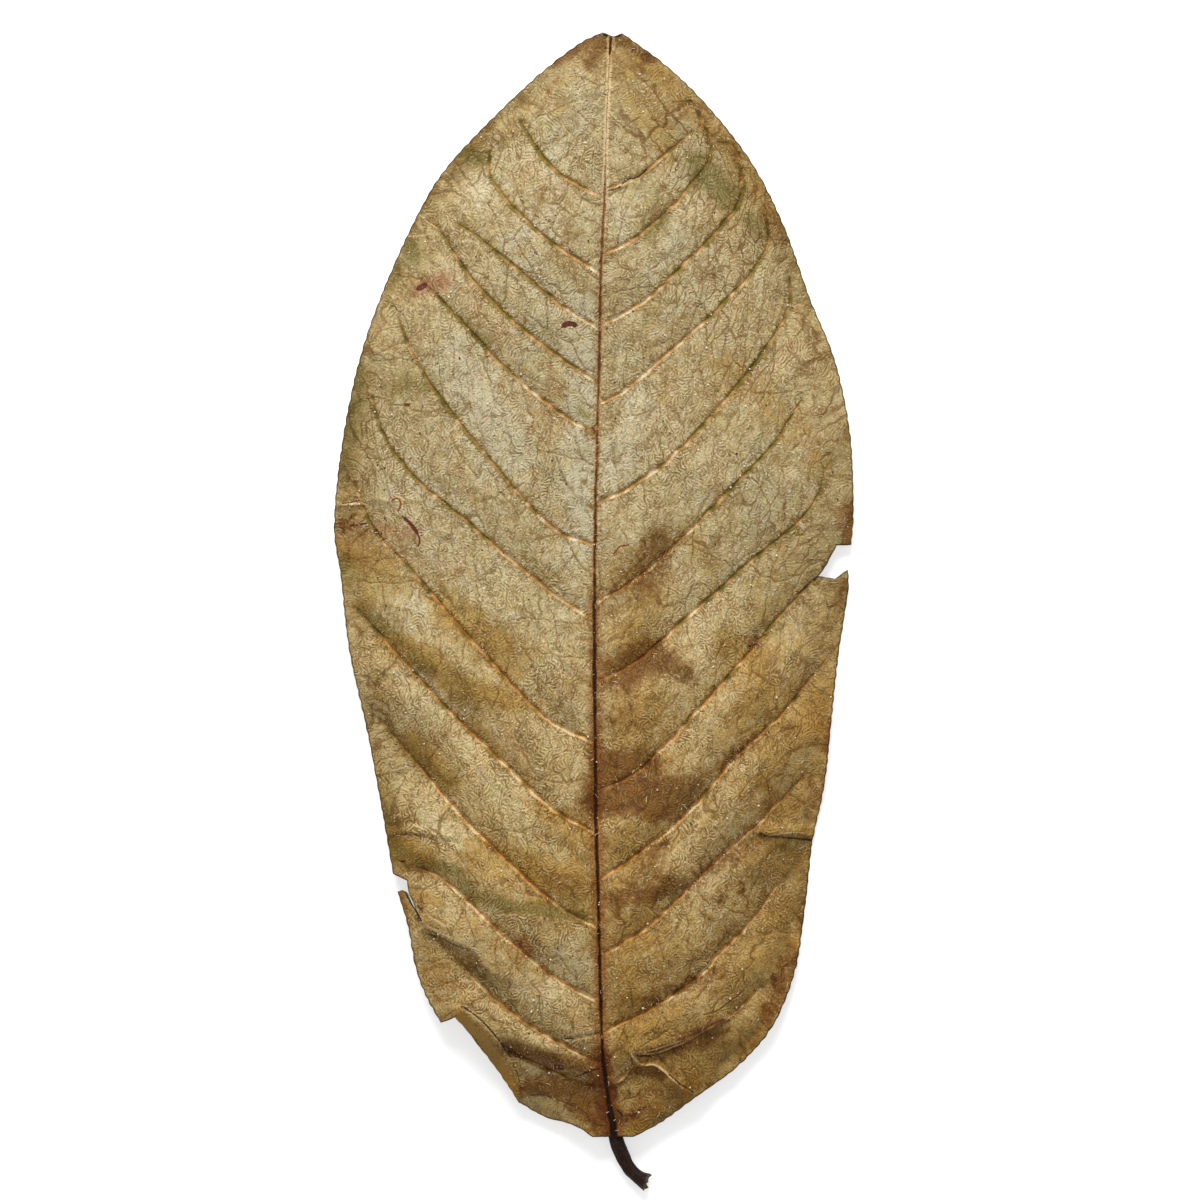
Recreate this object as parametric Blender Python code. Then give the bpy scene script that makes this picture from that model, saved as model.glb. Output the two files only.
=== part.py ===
"""A dried guava leaf lying on its underside: blade, midrib and stalk, grown as one piece.

The leaf's plan is in millimetres. x runs across it, to the right seen from above, and y runs
along it, from 0 at the foot of the blade to the tip. The blade is a thin sheet. Its outline is
filled with triangles that follow the veins, the sheet is extruded into an upper and a lower
skin, and both skins are lifted to the leaf's relief. The leaf rests on its midrib and on the
low places of its margins.
"""

import math
from bisect import bisect_right

import bmesh
import bpy
from mathutils import Vector
from mathutils.geometry import delaunay_2d_cdt

MM = 0.001

# ---- driving dimensions, in millimetres ----

BLADE_LENGTH = 120.0
THICKNESS = 0.34  # dry blade between the veins
KEEL_DEPTH = (1.05, 0.22)  # midrib below the blade, at the foot and at the tip
KEEL_HALF_WIDTH = (0.80, 0.26)
KEEL_FLAT = 0.55  # share of the keel's half width that is flat underneath
SEAM_DEPTH = 0.30  # V-shaped groove over the midrib
SEAM_FADE = (6.0, 30.0)  # lengths over which the groove fades out, at the foot and at the tip
CROWN_HEIGHT = 0.35  # swelling over the foot of the midrib
CROWN_LENGTH = 5.0
STALK_RADIUS = 0.80
STALK_EDGE = 0.30  # height of the stalk's side faces
ARCH = 2.0  # how far each half of the blade arches between midrib and margin
DROOP = 1.5  # above 1, the blade keeps the midrib's height before it bends to the margin's
PUCKER = (0.95, 0.24)  # height of the tissue between side veins, in the lower and upper half
PUCKER_CHANGE = (58.0, 6.0)  # where one passes into the other, and over what length
PUCKER_FADE = (0.12, 0.10)  # shares of the blade's reach, at the midrib and at the margin
ROLL_HEIGHT = 0.55
ROLL_WIDTH = 1.7

EDGE_STEP = 2.7  # spacing of the mesh's points round the margin
RIB_STEP = 3.6  # along the midrib
STALK_STEP = 0.9
VEIN_STEP = 3.1  # along the side veins
ROW_GAP = 1.3  # least distance between points of two rows
CLEARANCE = 1.15  # of rows from the margin and the midrib
ROLL_CLEARANCE = 0.9

# Centre line of the stalk, from its cut end, and of the midrib up to the tip.
STALK_LINE = [(3.55, -4.85), (2.6, -4.3), (1.8, -3.5), (1.2, -2.4), (0.76, -1.2), (0.4, 0.0)]
MIDRIB_LINE = [(0.4, 0.0), (-0.7, 7.5), (-1.2, 19.8), (-1.7, 47.0), (-1.7, 66.7), (-1.15, 92.2),
               (-0.5, 109.0), (0.0, 119.0)]
MIDRIB_X = [(y, x) for x, y in MIDRIB_LINE]

# The margin, anticlockwise from the right of the stalk. Each stretch is one smooth curve, and
# the stretches meet at corners: tears, notches and torn flaps.
MARGIN = [
    [(2.4, 0.0), (5.5, 1.6), (9.0, 4.2), (13.6, 7.5), (17.4, 11.8), (19.85, 17.5), (21.0, 24.2),
     (21.85, 32.0)],
    [(21.85, 32.0), (16.4, 32.9), (22.0, 32.6)],  # slit
    [(22.0, 32.6), (23.2, 38.4), (23.9, 45.1), (24.7, 52.1), (25.75, 59.0), (25.75, 61.5)],
    [(25.75, 61.5), (24.4, 60.5)],  # spike beside the right notch
    [(24.4, 60.5), (22.5, 60.8)],
    [(22.5, 60.8), (23.4, 62.1), (24.5, 64.2)],
    [(24.5, 64.2), (26.1, 64.25)],
    [(26.1, 64.25), (26.3, 68.4), (25.9, 76.5), (24.3, 84.4), (21.6, 91.1), (18.9, 98.6),
     (15.3, 105.7), (10.7, 111.7), (6.1, 116.3), (1.2, 119.9)],
    [(1.2, 119.9), (0.3, 119.6), (-0.9, 120.0)],  # tip
    [(-0.9, 120.0), (-3.85, 118.5), (-9.3, 114.1), (-17.2, 106.1), (-21.0, 100.2), (-24.9, 91.5),
     (-27.6, 83.2), (-29.4, 74.0), (-30.1, 66.1), (-29.4, 61.1), (-28.4, 52.8), (-26.7, 44.9),
     (-25.0, 36.0), (-23.65, 28.5)],
    [(-23.65, 28.5), (-22.1, 27.8)],  # left notch
    [(-22.1, 27.8), (-21.85, 26.4), (-20.65, 23.6)],
    [(-20.65, 23.6), (-22.25, 26.5), (-23.15, 26.55)],  # torn flap
    [(-23.15, 26.55), (-22.0, 22.9), (-21.2, 18.5), (-20.1, 15.4), (-18.45, 12.4)],
    [(-18.45, 12.4), (-16.9, 13.1)],
    [(-16.9, 13.1), (-15.2, 11.1), (-11.5, 6.1), (-10.0, 3.7)],  # rolled-over margin
    [(-10.0, 3.7), (-7.2, 2.1), (-4.0, 1.25), (-2.0, 0.0)],
]
ROLL_LINE = [(-16.2, 13.6), (-14.6, 11.7), (-12.0, 8.5), (-10.7, 6.4), (-9.7, 4.6)]

# Each side vein: its y where it leaves the midrib, its y 10 mm out from the midrib, and how
# far out and at what y it ends.
LEFT_VEINS = [(5.2, 9.1, 10.5, 9.4), (8.1, 14.0, 18.3, 21.9), (14.8, 21.6, 18.0, 28.5),
              (22.9, 30.1, 23.9, 45.3), (33.1, 40.5, 25.9, 57.2), (42.8, 50.5, 26.2, 71.1),
              (56.1, 63.5, 23.6, 77.8), (64.2, 71.9, 21.5, 89.0), (76.3, 83.5, 19.1, 93.0),
              (81.9, 89.1, 18.4, 99.0), (87.7, 95.0, 15.6, 99.6), (93.6, 101.6, 12.1, 104.5),
              (101.9, 110.6, 9.0, 110.2)]
RIGHT_VEINS = [(3.6, 8.2, 10.5, 8.4), (11.5, 17.2, 19.0, 27.1), (20.0, 27.5, 22.3, 39.2),
               (28.0, 35.5, 23.4, 50.1), (37.6, 45.3, 23.6, 60.3), (49.2, 56.4, 25.3, 73.0),
               (58.0, 65.4, 22.5, 79.9), (68.8, 75.5, 21.0, 90.1), (79.7, 87.2, 18.5, 98.4),
               (88.0, 95.5, 15.6, 103.1), (95.9, 103.8, 12.0, 107.6), (102.9, 109.7, 9.5, 109.2)]

# Heights above the surface that the leaf lies on, each as (y, height).
MIDRIB_HEIGHT = [(-5, 0.7), (-1, 1.5), (12, 3.9), (25, 4.7), (45, 2.8), (62, 0.5), (80, 0.4),
                 (97, 1.5), (110, 1.1), (119, 0.1)]
LEFT_HEIGHT = [(0, 1.5), (10, 1.9), (22, 2.2), (38, 0.0), (52, 1.5), (66, 0.3), (84, 1.3),
               (100, 0.0), (119, 0.1)]
RIGHT_HEIGHT = [(0, 1.5), (12, 1.6), (28, 0.0), (42, 1.4), (56, 0.1), (72, 1.6), (90, 0.0),
                (105, 1.0), (119, 0.1)]
ARCH_SHARE = [(0, 0.2), (14, 0.8), (30, 1.0), (70, 0.9), (95, 0.6), (112, 0.25), (120, 0.0)]
BLADE_REACH = [(0, 4.0), (6, 12.0), (14, 18.5), (24, 21.2), (38, 23.5), (52, 26.0), (66, 27.8),
               (84, 25.5), (98, 20.0), (108, 13.5), (116, 6.0), (120, 2.0)]  # midrib to margin


def smooth_curve(points, step):
    """Points about a step apart on a smooth curve through the given points."""
    if len(points) == 2:
        points = [points[0], tuple((a + b) / 2 for a, b in zip(*points)), points[1]]
    route = [Vector(p) for p in points]
    route = [2 * route[0] - route[1]] + route + [2 * route[-1] - route[-2]]
    line = []
    for before, start, end, after in zip(route, route[1:], route[2:], route[3:]):
        count = max(1, round((end - start).length / step))
        for i in range(count):
            t = i / count
            line.append(0.5 * (2 * start + (end - before) * t
                               + (2 * before - 5 * start + 4 * end - after) * t ** 2
                               + (3 * start - before - 3 * end + after) * t ** 3))
    return line + [route[-2]]


def reading(table, y):
    """The value of a table of (y, value) at y, eased from one entry to the next."""
    if y <= table[0][0]:
        return table[0][1]
    for (y0, low), (y1, high) in zip(table, table[1:]):
        if y <= y1:
            t = (y - y0) / (y1 - y0)
            return low + (high - low) * t * t * (3 - 2 * t)
    return table[-1][1]


def along_rib(ends, y):
    """A midrib size at y, tapering evenly from the foot of the blade to the tip."""
    share = min(max(y / BLADE_LENGTH, 0), 1)
    return ends[0] + (ends[1] - ends[0]) * share


def nearest(point, line):
    """Distance from a point to a line of points, and the nearest place on the line."""
    best = (math.inf, None)
    for a, b in zip(line, line[1:]):
        along = b - a
        t = min(max((point - a).dot(along) / along.length_squared, 0), 1)
        place = a + along * t
        best = min(best, ((point - place).length, place), key=lambda found: found[0])
    return best


def is_inside(point, outline):
    """Whether a point lies inside a closed outline."""
    crossings = 0
    for a, b in zip(outline, outline[1:] + outline[:1]):
        if (a.y > point.y) != (b.y > point.y):
            crossings += point.x < a.x + (b.x - a.x) * (point.y - a.y) / (b.y - a.y)
    return crossings % 2 == 1


def offset_line(line, offset):
    """A line moved sideways by an offset, which may be a function of y. Left is positive."""
    moved = []
    for i, point in enumerate(line):
        along = line[min(i + 1, len(line) - 1)] - line[max(i - 1, 0)]
        moved.append(point + Vector((-along.y, along.x)).normalized() * offset(point.y))
    return moved


def vein_y(vein, out):
    """Where a side vein runs along the leaf, at a distance out from the midrib."""
    start, at_ten, end_out, end = vein
    slope = (at_ten - start) / 10
    bend = 0.0
    if end_out > 12.5:  # a shorter vein is straight
        bend = ((end - start) / end_out - slope) / (end_out - 10)
    return start + (slope - 10 * bend) * out + bend * out * out


def midrib_x(y):
    """Where the midrib runs, across the leaf."""
    return reading(MIDRIB_X, y)


def pucker(x, y):
    """Height of the tissue that bulges between the side veins: 0 on a vein, 1 between two."""
    out = x - midrib_x(y)
    veins = LEFT_VEINS if out < 0 else RIGHT_VEINS
    crossings = sorted(vein_y(vein, abs(out)) for vein in veins)
    i = bisect_right(crossings, y)
    if i == 0 or i == len(crossings):
        return 0.5
    share = (y - crossings[i - 1]) / (crossings[i] - crossings[i - 1])
    return 4 * share * (1 - share)


def blade_height(x, y):
    """Middle of the blade above the surface, without the midrib and stalk."""
    out = x - midrib_x(y)
    share = min(abs(out) / reading(BLADE_REACH, y), 1.0)
    side = reading(LEFT_HEIGHT if out < 0 else RIGHT_HEIGHT, y)
    middle = reading(MIDRIB_HEIGHT, y)
    height = middle + (side - middle) * share ** DROOP
    height += 4 * share * (1 - share) * ARCH * reading(ARCH_SHARE, y)
    lower_half = 1 / (1 + math.exp((y - PUCKER_CHANGE[0]) / PUCKER_CHANGE[1]))
    depth = PUCKER[1] + (PUCKER[0] - PUCKER[1]) * lower_half
    fade = min(share / PUCKER_FADE[0], 1) * min((1 - share) / PUCKER_FADE[1] + 0.25, 1)
    return height + depth * fade * (pucker(x, y) - 0.5)


def skin_heights(x, y, axis, roll):
    """Heights of the upper and the lower skin at a place, in millimetres."""
    off_axis, foot = nearest(Vector((x, y)), axis)
    if foot.y < 0:
        centre = max(reading(MIDRIB_HEIGHT, foot.y), STALK_RADIUS)
        rise = math.sqrt(max(1 - (off_axis / STALK_RADIUS) ** 2, 0)) * STALK_RADIUS
        rise = max(rise, STALK_EDGE / 2)
        return centre + rise, centre - rise
    half_width = along_rib(KEEL_HALF_WIDTH, y)
    across = min(off_axis / half_width, 1)
    keel = along_rib(KEEL_DEPTH, y) * min((1 - across) / (1 - KEEL_FLAT), 1)
    to_tip = max(BLADE_LENGTH - y, 0)
    seam = SEAM_DEPTH * (1 - across) * min(y / SEAM_FADE[0], 1) * min(to_tip / SEAM_FADE[1], 1)
    crown = CROWN_HEIGHT * (1 - across) * max(1 - y / CROWN_LENGTH, 0)
    middle = max(blade_height(x, y), THICKNESS / 2 + keel)
    off_roll = nearest(Vector((x, y)), roll)[0]
    rolled = ROLL_HEIGHT * max(1 - (2 * off_roll / ROLL_WIDTH) ** 2, 0)
    return middle + THICKNESS / 2 - seam + crown + rolled, middle - THICKNESS / 2 - keel


def blade_outline():
    """The leaf's whole outline: the margin, then round the stalk."""
    outline = []
    for stretch in MARGIN:
        outline += smooth_curve(stretch, EDGE_STEP)[:-1]
    outline.append(Vector(MARGIN[-1][-1]))
    stalk = smooth_curve(STALK_LINE, STALK_STEP)
    right = offset_line(stalk, lambda y: -STALK_RADIUS)
    left = offset_line(stalk, lambda y: STALK_RADIUS)
    return outline + left[::-1] + right


def vein_rows(outline, axis, roll):
    """Rows of places inside the blade, along the side veins and between them.

    A row runs from the midrib outwards. It breaks where it would come too close to a row
    already laid, to the margin, to the midrib or to the rolled edge.
    """
    edge = outline + outline[:1]
    laid = []
    rows = []
    for side, veins in ((-1, LEFT_VEINS), (1, RIGHT_VEINS)):
        foot = (-12.0, -6.0) + veins[0][2:]
        head = (veins[-1][0] + 12, veins[-1][1] + 12, 9.0, veins[-1][3] + 12)
        ordered = [foot] + veins + [head]
        for below, above in zip(ordered, ordered[1:]):
            for share in (0, 0.5, 0.25, 0.75):
                rows.append([])
                for column in range(1, 12):
                    out = column * VEIN_STEP
                    y = vein_y(below, out) * (1 - share) + vein_y(above, out) * share
                    place = Vector((midrib_x(y) + side * out, y))
                    rib = CLEARANCE + along_rib(KEEL_HALF_WIDTH, y)
                    free = is_inside(place, outline) and nearest(place, edge)[0] > CLEARANCE
                    free = free and nearest(place, axis)[0] > rib
                    free = free and nearest(place, roll)[0] > ROLL_CLEARANCE
                    if free and all((place - other).length > ROW_GAP for other in laid):
                        laid.append(place)
                        rows[-1].append(place)
                    else:
                        rows.append([])
    return [row for row in rows if row]


def rib_lines(axis):
    """Lines along the midrib and stalk: its middle, the keel's flat and the keel's sides."""
    inner = [point for point in axis if point.y < 117.5]
    lines = [inner]
    for share in (-0.5, 0.5):
        lines.append(offset_line(inner, lambda y, s=share: s * along_rib(KEEL_HALF_WIDTH, y)))
    blade = [point for point in inner if point.y > 1]
    for share in (-1, 1):
        lines.append(offset_line(blade, lambda y, s=share: s * along_rib(KEEL_HALF_WIDTH, y)))
    return lines


def flat_sheet(outline, axis, roll):
    """The leaf's plan as a flat mesh of triangles."""
    places = list(outline)
    edges = []
    for line in rib_lines(axis) + [roll] + vein_rows(outline, axis, roll):
        first = len(places)
        places += line
        edges += [(i, i + 1) for i in range(first, len(places) - 1)]
    filled = delaunay_2d_cdt(places, edges, [list(range(len(outline)))], 1, 1e-5)
    sheet = bmesh.new()
    corners = [sheet.verts.new((place.x, place.y, 0)) for place in filled[0]]
    for face in filled[2]:
        sheet.faces.new([corners[i] for i in face])
    sheet.normal_update()
    return sheet


def leaf_mesh():
    """The closed leaf: the sheet extruded to two skins, lifted to the relief."""
    axis = smooth_curve(STALK_LINE, STALK_STEP)[:-1] + smooth_curve(MIDRIB_LINE, RIB_STEP)
    roll = smooth_curve(ROLL_LINE, 1.5)
    sheet = flat_sheet(blade_outline(), axis, roll)
    for face in sheet.faces:
        if face.normal.z > 0:
            face.normal_flip()
    lower = list(sheet.verts)
    extruded = bmesh.ops.extrude_face_region(sheet, geom=list(sheet.faces))
    upper = [item for item in extruded["geom"] if isinstance(item, bmesh.types.BMVert)]
    for skin, verts in ((1, lower), (0, upper)):
        for vert in verts:
            vert.co.z = skin_heights(vert.co.x, vert.co.y, axis, roll)[skin]
    bmesh.ops.recalc_face_normals(sheet, faces=list(sheet.faces))
    xs, ys, zs = zip(*(vert.co for vert in sheet.verts))
    middle = Vector(((min(xs) + max(xs)) / 2, (min(ys) + max(ys)) / 2, min(zs)))
    for vert in sheet.verts:
        vert.co = (vert.co - middle) * MM
    mesh = bpy.data.meshes.new("guava_leaf")
    sheet.to_mesh(mesh)
    sheet.free()
    return mesh


def dry_leaf_tissue():
    """Dry leaf: khaki-brown, matt."""
    material = bpy.data.materials.new("dry_leaf")
    material.use_nodes = True
    shader = material.node_tree.nodes["Principled BSDF"]
    shader.inputs["Base Color"].default_value = (0.33, 0.23, 0.10, 1.0)
    shader.inputs["Roughness"].default_value = 0.68
    shader.inputs["Metallic"].default_value = 0.0
    return material


MIDRIB_X = [(y, x) for x, y in MIDRIB_LINE]

for old in list(bpy.data.objects):
    bpy.data.objects.remove(old, do_unlink=True)

leaf = bpy.data.objects.new("guava_leaf", leaf_mesh())
leaf.data.materials.append(dry_leaf_tissue())
leaf.data.shade_smooth()
leaf.data.set_sharp_from_angle(angle=math.radians(40))
bpy.context.scene.collection.objects.link(leaf)
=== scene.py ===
"""The dried guava leaf as it looks: dense tissue, veins, creases, stains, stray hairs.

Plan places are in millimetres. x runs across the leaf, to the right seen from above, and y
runs along it, from 0 at the foot of the blade to the tip. world() takes them to the frame.
"""
import math
import random

import bmesh
import bpy
import numpy as np
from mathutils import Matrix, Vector, kdtree, noise
from mathutils.geometry import delaunay_2d_cdt

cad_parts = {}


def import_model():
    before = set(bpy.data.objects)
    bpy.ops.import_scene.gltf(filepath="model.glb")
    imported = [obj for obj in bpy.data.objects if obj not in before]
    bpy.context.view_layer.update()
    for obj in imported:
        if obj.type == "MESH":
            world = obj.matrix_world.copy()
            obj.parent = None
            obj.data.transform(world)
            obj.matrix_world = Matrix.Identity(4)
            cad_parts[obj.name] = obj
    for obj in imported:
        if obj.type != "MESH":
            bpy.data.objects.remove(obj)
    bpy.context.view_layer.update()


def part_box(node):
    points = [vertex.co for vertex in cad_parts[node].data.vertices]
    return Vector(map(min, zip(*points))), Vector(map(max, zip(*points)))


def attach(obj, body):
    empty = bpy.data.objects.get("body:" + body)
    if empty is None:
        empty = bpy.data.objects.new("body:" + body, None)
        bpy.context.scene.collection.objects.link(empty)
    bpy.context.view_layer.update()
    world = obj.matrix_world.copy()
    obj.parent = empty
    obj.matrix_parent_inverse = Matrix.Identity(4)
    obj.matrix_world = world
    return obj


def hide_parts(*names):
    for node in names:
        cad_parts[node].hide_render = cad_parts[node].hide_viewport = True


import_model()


# ---- The blade --------------------------------------------------------------------------
# One thin sheet of dry leaf, grown as one piece with its veins. It lies face up: midrib and
# side veins are sunk in its upper side and stand out below, and the tissue between bulges.

MM = 0.001  # metres in a millimetre
BLADE_LENGTH = 120.0
LEFT_REACH = 30.1  # the margin's furthest place left of x = 0
THICKNESS = 0.34
LEAST_THICKNESS = 0.12  # at the floors of veins and creases
RIM_SWELL = 0.05  # the dried margin is a little rounded

# Spacing of the mesh on each side: of the even spread, of points in the rows that follow veins and
# creases, and between rows and spread.
UPPER_STEPS = (0.37, 0.12, 0.21)
LOWER_STEPS = (0.62, 0.25, 0.34)
EDGE_STEP = 0.27
VEIN_STEP = 0.35
CREASE_STEP = 0.30
MARK_STEP = 0.15
LINE_STEP = 0.4  # for a crease or mark where heights and colours are worked out from it

CRENATE_PITCH = 1.35  # small rounded teeth round the margin
CRENATE_DEPTH = 0.09
CRENATE_MEAN = 0.6  # their mean height, as a share of the depth
CRENATE_DRIFT = (0.7, 4.0)  # teeth that the count runs ahead or behind, and over what distance
FRAY_DEPTH = 0.10
FRAY_SIZE = 0.7
SLIT_FRAY = 0.6  # share of the fray beside the slit, where it only takes tissue away
CORNER_FADE = 0.8  # teeth, fray and sway die away over this distance from an end
MIDRIB_SWAY = 0.07
VEIN_SWAY = 0.16
MINOR_SWAY = 0.55
SWAY_SIZE = 1.1

KEEL_DEPTH = [(0, 1.05), (120, 0.22)]  # midrib below the blade
KEEL_HALF_WIDTH = [(0, 0.80), (120, 0.26)]
KEEL_FLAT = 0.55
SEAM_DEPTH = [(0, 0.0), (5, 0.34), (60, 0.26), (95, 0.14), (108, 0.05), (111, -0.07), (117, -0.07),
              (119, 0.1)]  # the sunken line on top. Near the tip it is a low ridge instead
SEAM_CORE = [(0, 0.30), (5, 0.15), (10, 0.105), (55, 0.09), (62, 0.07), (80, 0.05), (102, 0.04),
             (108, -0.06), (117, -0.06), (118, 0.09), (120, 0.12)]  # half width of its black floor
SEAM_HALF_WIDTH = 0.36
SHOULDER = (0.07, 0.75, 0.5)  # the swelling beside the seam: height, distance out, half width
VEIN_DEPTH = 0.09  # groove over a side vein
VEIN_HALF_WIDTH = 0.31
VEIN_START = 0.8  # distance from the midrib at which the groove is full
VEIN_LIP = (0.03, 0.40, 0.25)  # the swelling beside it, as for the seam
VEIN_BELOW = 0.28  # the same vein standing out on the underside
MINOR_DEPTH = 0.02  # groove over a minor vein
MINOR_HALF_WIDTH = 0.25
ARCH = 2.0
DROOP = 1.5
PUCKER = [(0, 0.92), (46, 0.98), (70, 0.32), (120, 0.22)]  # bulge of tissue between side veins
PUCKER_ROUNDNESS = 0.8  # under 1 gives fuller bulges
PUCKER_MEAN = 0.6
PUCKER_START = 0.12  # share of the reach over which the bulges grow from the midrib
PUCKER_END = (0.10, 0.25)  # share over which they die away at the margin, and what is left there
PANEL = 8.0  # usual distance between side veins
WAVES = [(0, 0.42), (50, 0.30), (70, 0.10), (120, 0.12)]  # unevenness of the whole blade
WAVES_SIZE = 9.0
WAVES_START = 0.2  # share of the reach over which they grow from the midrib
CRUMPLE = [(0, 0.27), (50, 0.24), (75, 0.09), (120, 0.08)]  # crumples of the dried tissue
CRUMPLE_SIZE = 3.2
CRINKLE = (0.065, 1.4, 7.7)  # small bulges between veinlets: height, size and seed
GRAIN = (0.016, 0.62, 2.2)

# Heights above the surface that the leaf lies on, each as (y, height), and how far the blade
# reaches from midrib to margin.
MIDRIB_HEIGHT = [(-5, 0.7), (-1, 1.5), (12, 3.9), (25, 4.7), (45, 2.8), (62, 0.5), (80, 0.4),
                 (97, 1.5), (110, 1.1), (119, 0.1)]
LEFT_HEIGHT = [(0, 1.5), (10, 1.9), (22, 2.2), (38, 0.0), (52, 1.5), (66, 0.3), (84, 1.3),
               (100, 0.0), (119, 0.1)]
RIGHT_HEIGHT = [(0, 1.5), (12, 1.6), (28, 0.0), (42, 1.4), (56, 0.1), (72, 1.6), (90, 0.0),
                (105, 1.0), (119, 0.1)]
ARCH_SHARE = [(0, 0.2), (14, 0.8), (30, 1.0), (70, 0.9), (95, 0.6), (112, 0.25), (120, 0.0)]
BLADE_REACH = [(0, 4.0), (6, 12.0), (14, 18.5), (24, 21.2), (38, 23.5), (52, 26.0), (66, 27.8),
               (84, 25.5), (98, 20.0), (108, 13.5), (116, 6.0), (120, 2.0)]

MIDRIB_LINE = [(0.85, -1.5), (0.4, 0.0), (-0.17, 3.3), (-0.75, 7.5), (-1.0, 11.2), (-1.25, 19.8),
               (-1.45, 28.1), (-1.65, 36.0), (-1.75, 47.0), (-1.8, 58.0), (-1.7, 66.7),
               (-1.5, 75.0), (-1.25, 85.5), (-1.1, 94.0), (-0.75, 101.0), (-0.5, 108.9),
               (-0.25, 115.0), (0.0, 119.4)]

# The margin, anticlockwise from the right of the stalk. Each stretch is one smooth curve, and
# the stretches meet at corners: tears, notches and torn flaps.
MARGIN = [
    [(2.4, 0.0), (5.5, 1.6), (9.0, 4.2), (13.6, 7.5), (17.4, 11.8), (19.85, 17.5), (21.0, 24.2),
     (21.87, 32.06)],
    [(21.87, 32.06), (16.6, 32.75), (21.9, 32.12)],  # slit
    [(21.9, 32.12), (23.2, 38.4), (23.9, 45.1), (24.7, 52.1), (25.75, 59.0), (25.75, 61.5)],
    [(25.75, 61.5), (24.4, 60.5)],  # spike beside the right notch
    [(24.4, 60.5), (22.5, 60.8)],
    [(22.5, 60.8), (23.4, 62.1), (24.5, 64.2)],
    [(24.5, 64.2), (26.1, 64.25)],
    [(26.1, 64.25), (26.3, 68.4), (25.9, 76.5), (24.3, 84.4), (21.6, 91.1), (18.9, 98.6),
     (15.3, 105.7), (10.7, 111.7), (6.1, 116.3), (1.2, 119.9)],
    [(1.2, 119.9), (0.3, 119.6), (-0.9, 120.0)],  # tip
    [(-0.9, 120.0), (-3.85, 118.5), (-9.3, 114.1), (-17.2, 106.1), (-21.0, 100.2), (-24.9, 91.5),
     (-27.6, 83.2), (-29.4, 74.0), (-30.1, 66.1), (-29.4, 61.1), (-28.4, 52.8), (-26.7, 44.9),
     (-25.0, 36.0), (-23.65, 28.5)],
    [(-23.65, 28.5), (-22.1, 27.8)],  # left notch
    [(-22.1, 27.8), (-21.85, 26.4), (-20.65, 23.6)],
    [(-20.65, 23.6), (-22.25, 26.5), (-23.15, 26.55)],  # torn flap
    [(-23.15, 26.55), (-22.0, 22.9), (-21.2, 18.5), (-20.1, 15.4), (-18.45, 12.4)],
    [(-18.45, 12.4), (-16.9, 13.1)],
    [(-16.9, 13.1), (-15.2, 11.1), (-11.5, 6.1), (-10.0, 3.7)],  # rolled-over margin
    [(-10.0, 3.7), (-7.2, 2.1), (-4.0, 1.25), (-2.0, 0.0)],
    [(-2.0, 0.0), (2.4, 0.0)],  # the foot, where the stalk joins
]
TOOTHED = (0, 2, 7, 9, 13)  # stretches that kept their teeth
SLIT = 1  # the stretch that runs in along the slit and out again

# Side veins from the midrib outwards, in order from the foot to the tip.
LEFT_VEINS = [
    [(-0.8, 5.2), (-5.0, 6.7), (-7.9, 7.9), (-11.0, 9.3)],
    [(-1.4, 8.1), (-5.5, 10.3), (-8.7, 12.2), (-13.0, 15.5), (-17.9, 20.6), (-19.3, 22.1)],
    [(-1.5, 14.8), (-7.0, 18.1), (-12.8, 23.1), (-17.9, 27.8), (-20.4, 29.0)],
    [(-1.5, 22.9), (-5.6, 25.1), (-11.8, 30.6), (-16.2, 34.8), (-20.4, 39.7), (-25.2, 45.3)],
    [(-2.0, 33.1), (-7.1, 36.2), (-12.5, 41.4), (-17.9, 46.6), (-22.3, 51.4), (-27.5, 57.2)],
    [(-2.0, 42.8), (-7.7, 46.0), (-16.3, 55.3), (-21.3, 61.0), (-25.9, 66.1), (-27.9, 71.1)],
    [(-1.9, 56.1), (-7.1, 59.6), (-16.1, 67.1), (-21.3, 71.5), (-24.8, 76.3), (-26.0, 80.5)],
    [(-1.9, 64.2), (-7.1, 66.7), (-15.4, 76.1), (-19.2, 81.1), (-21.7, 85.3), (-23.2, 89.0)],
    [(-1.8, 76.3), (-6.4, 79.2), (-11.4, 83.4), (-16.4, 88.6), (-20.6, 93.0)],
    [(-1.5, 81.9), (-6.4, 85.2), (-11.4, 89.2), (-15.5, 93.6), (-18.5, 98.2), (-19.7, 99.4)],
    [(-1.2, 87.7), (-5.1, 90.0), (-10.5, 94.4), (-14.3, 97.5), (-16.8, 99.2)],
    [(-1.0, 93.6), (-5.9, 96.6), (-9.5, 99.7), (-12.4, 103.1), (-13.3, 105.0), (-13.1, 107.3)],
    [(-0.8, 101.9), (-5.3, 104.3), (-8.2, 107.5), (-9.9, 110.4)],
]
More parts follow.
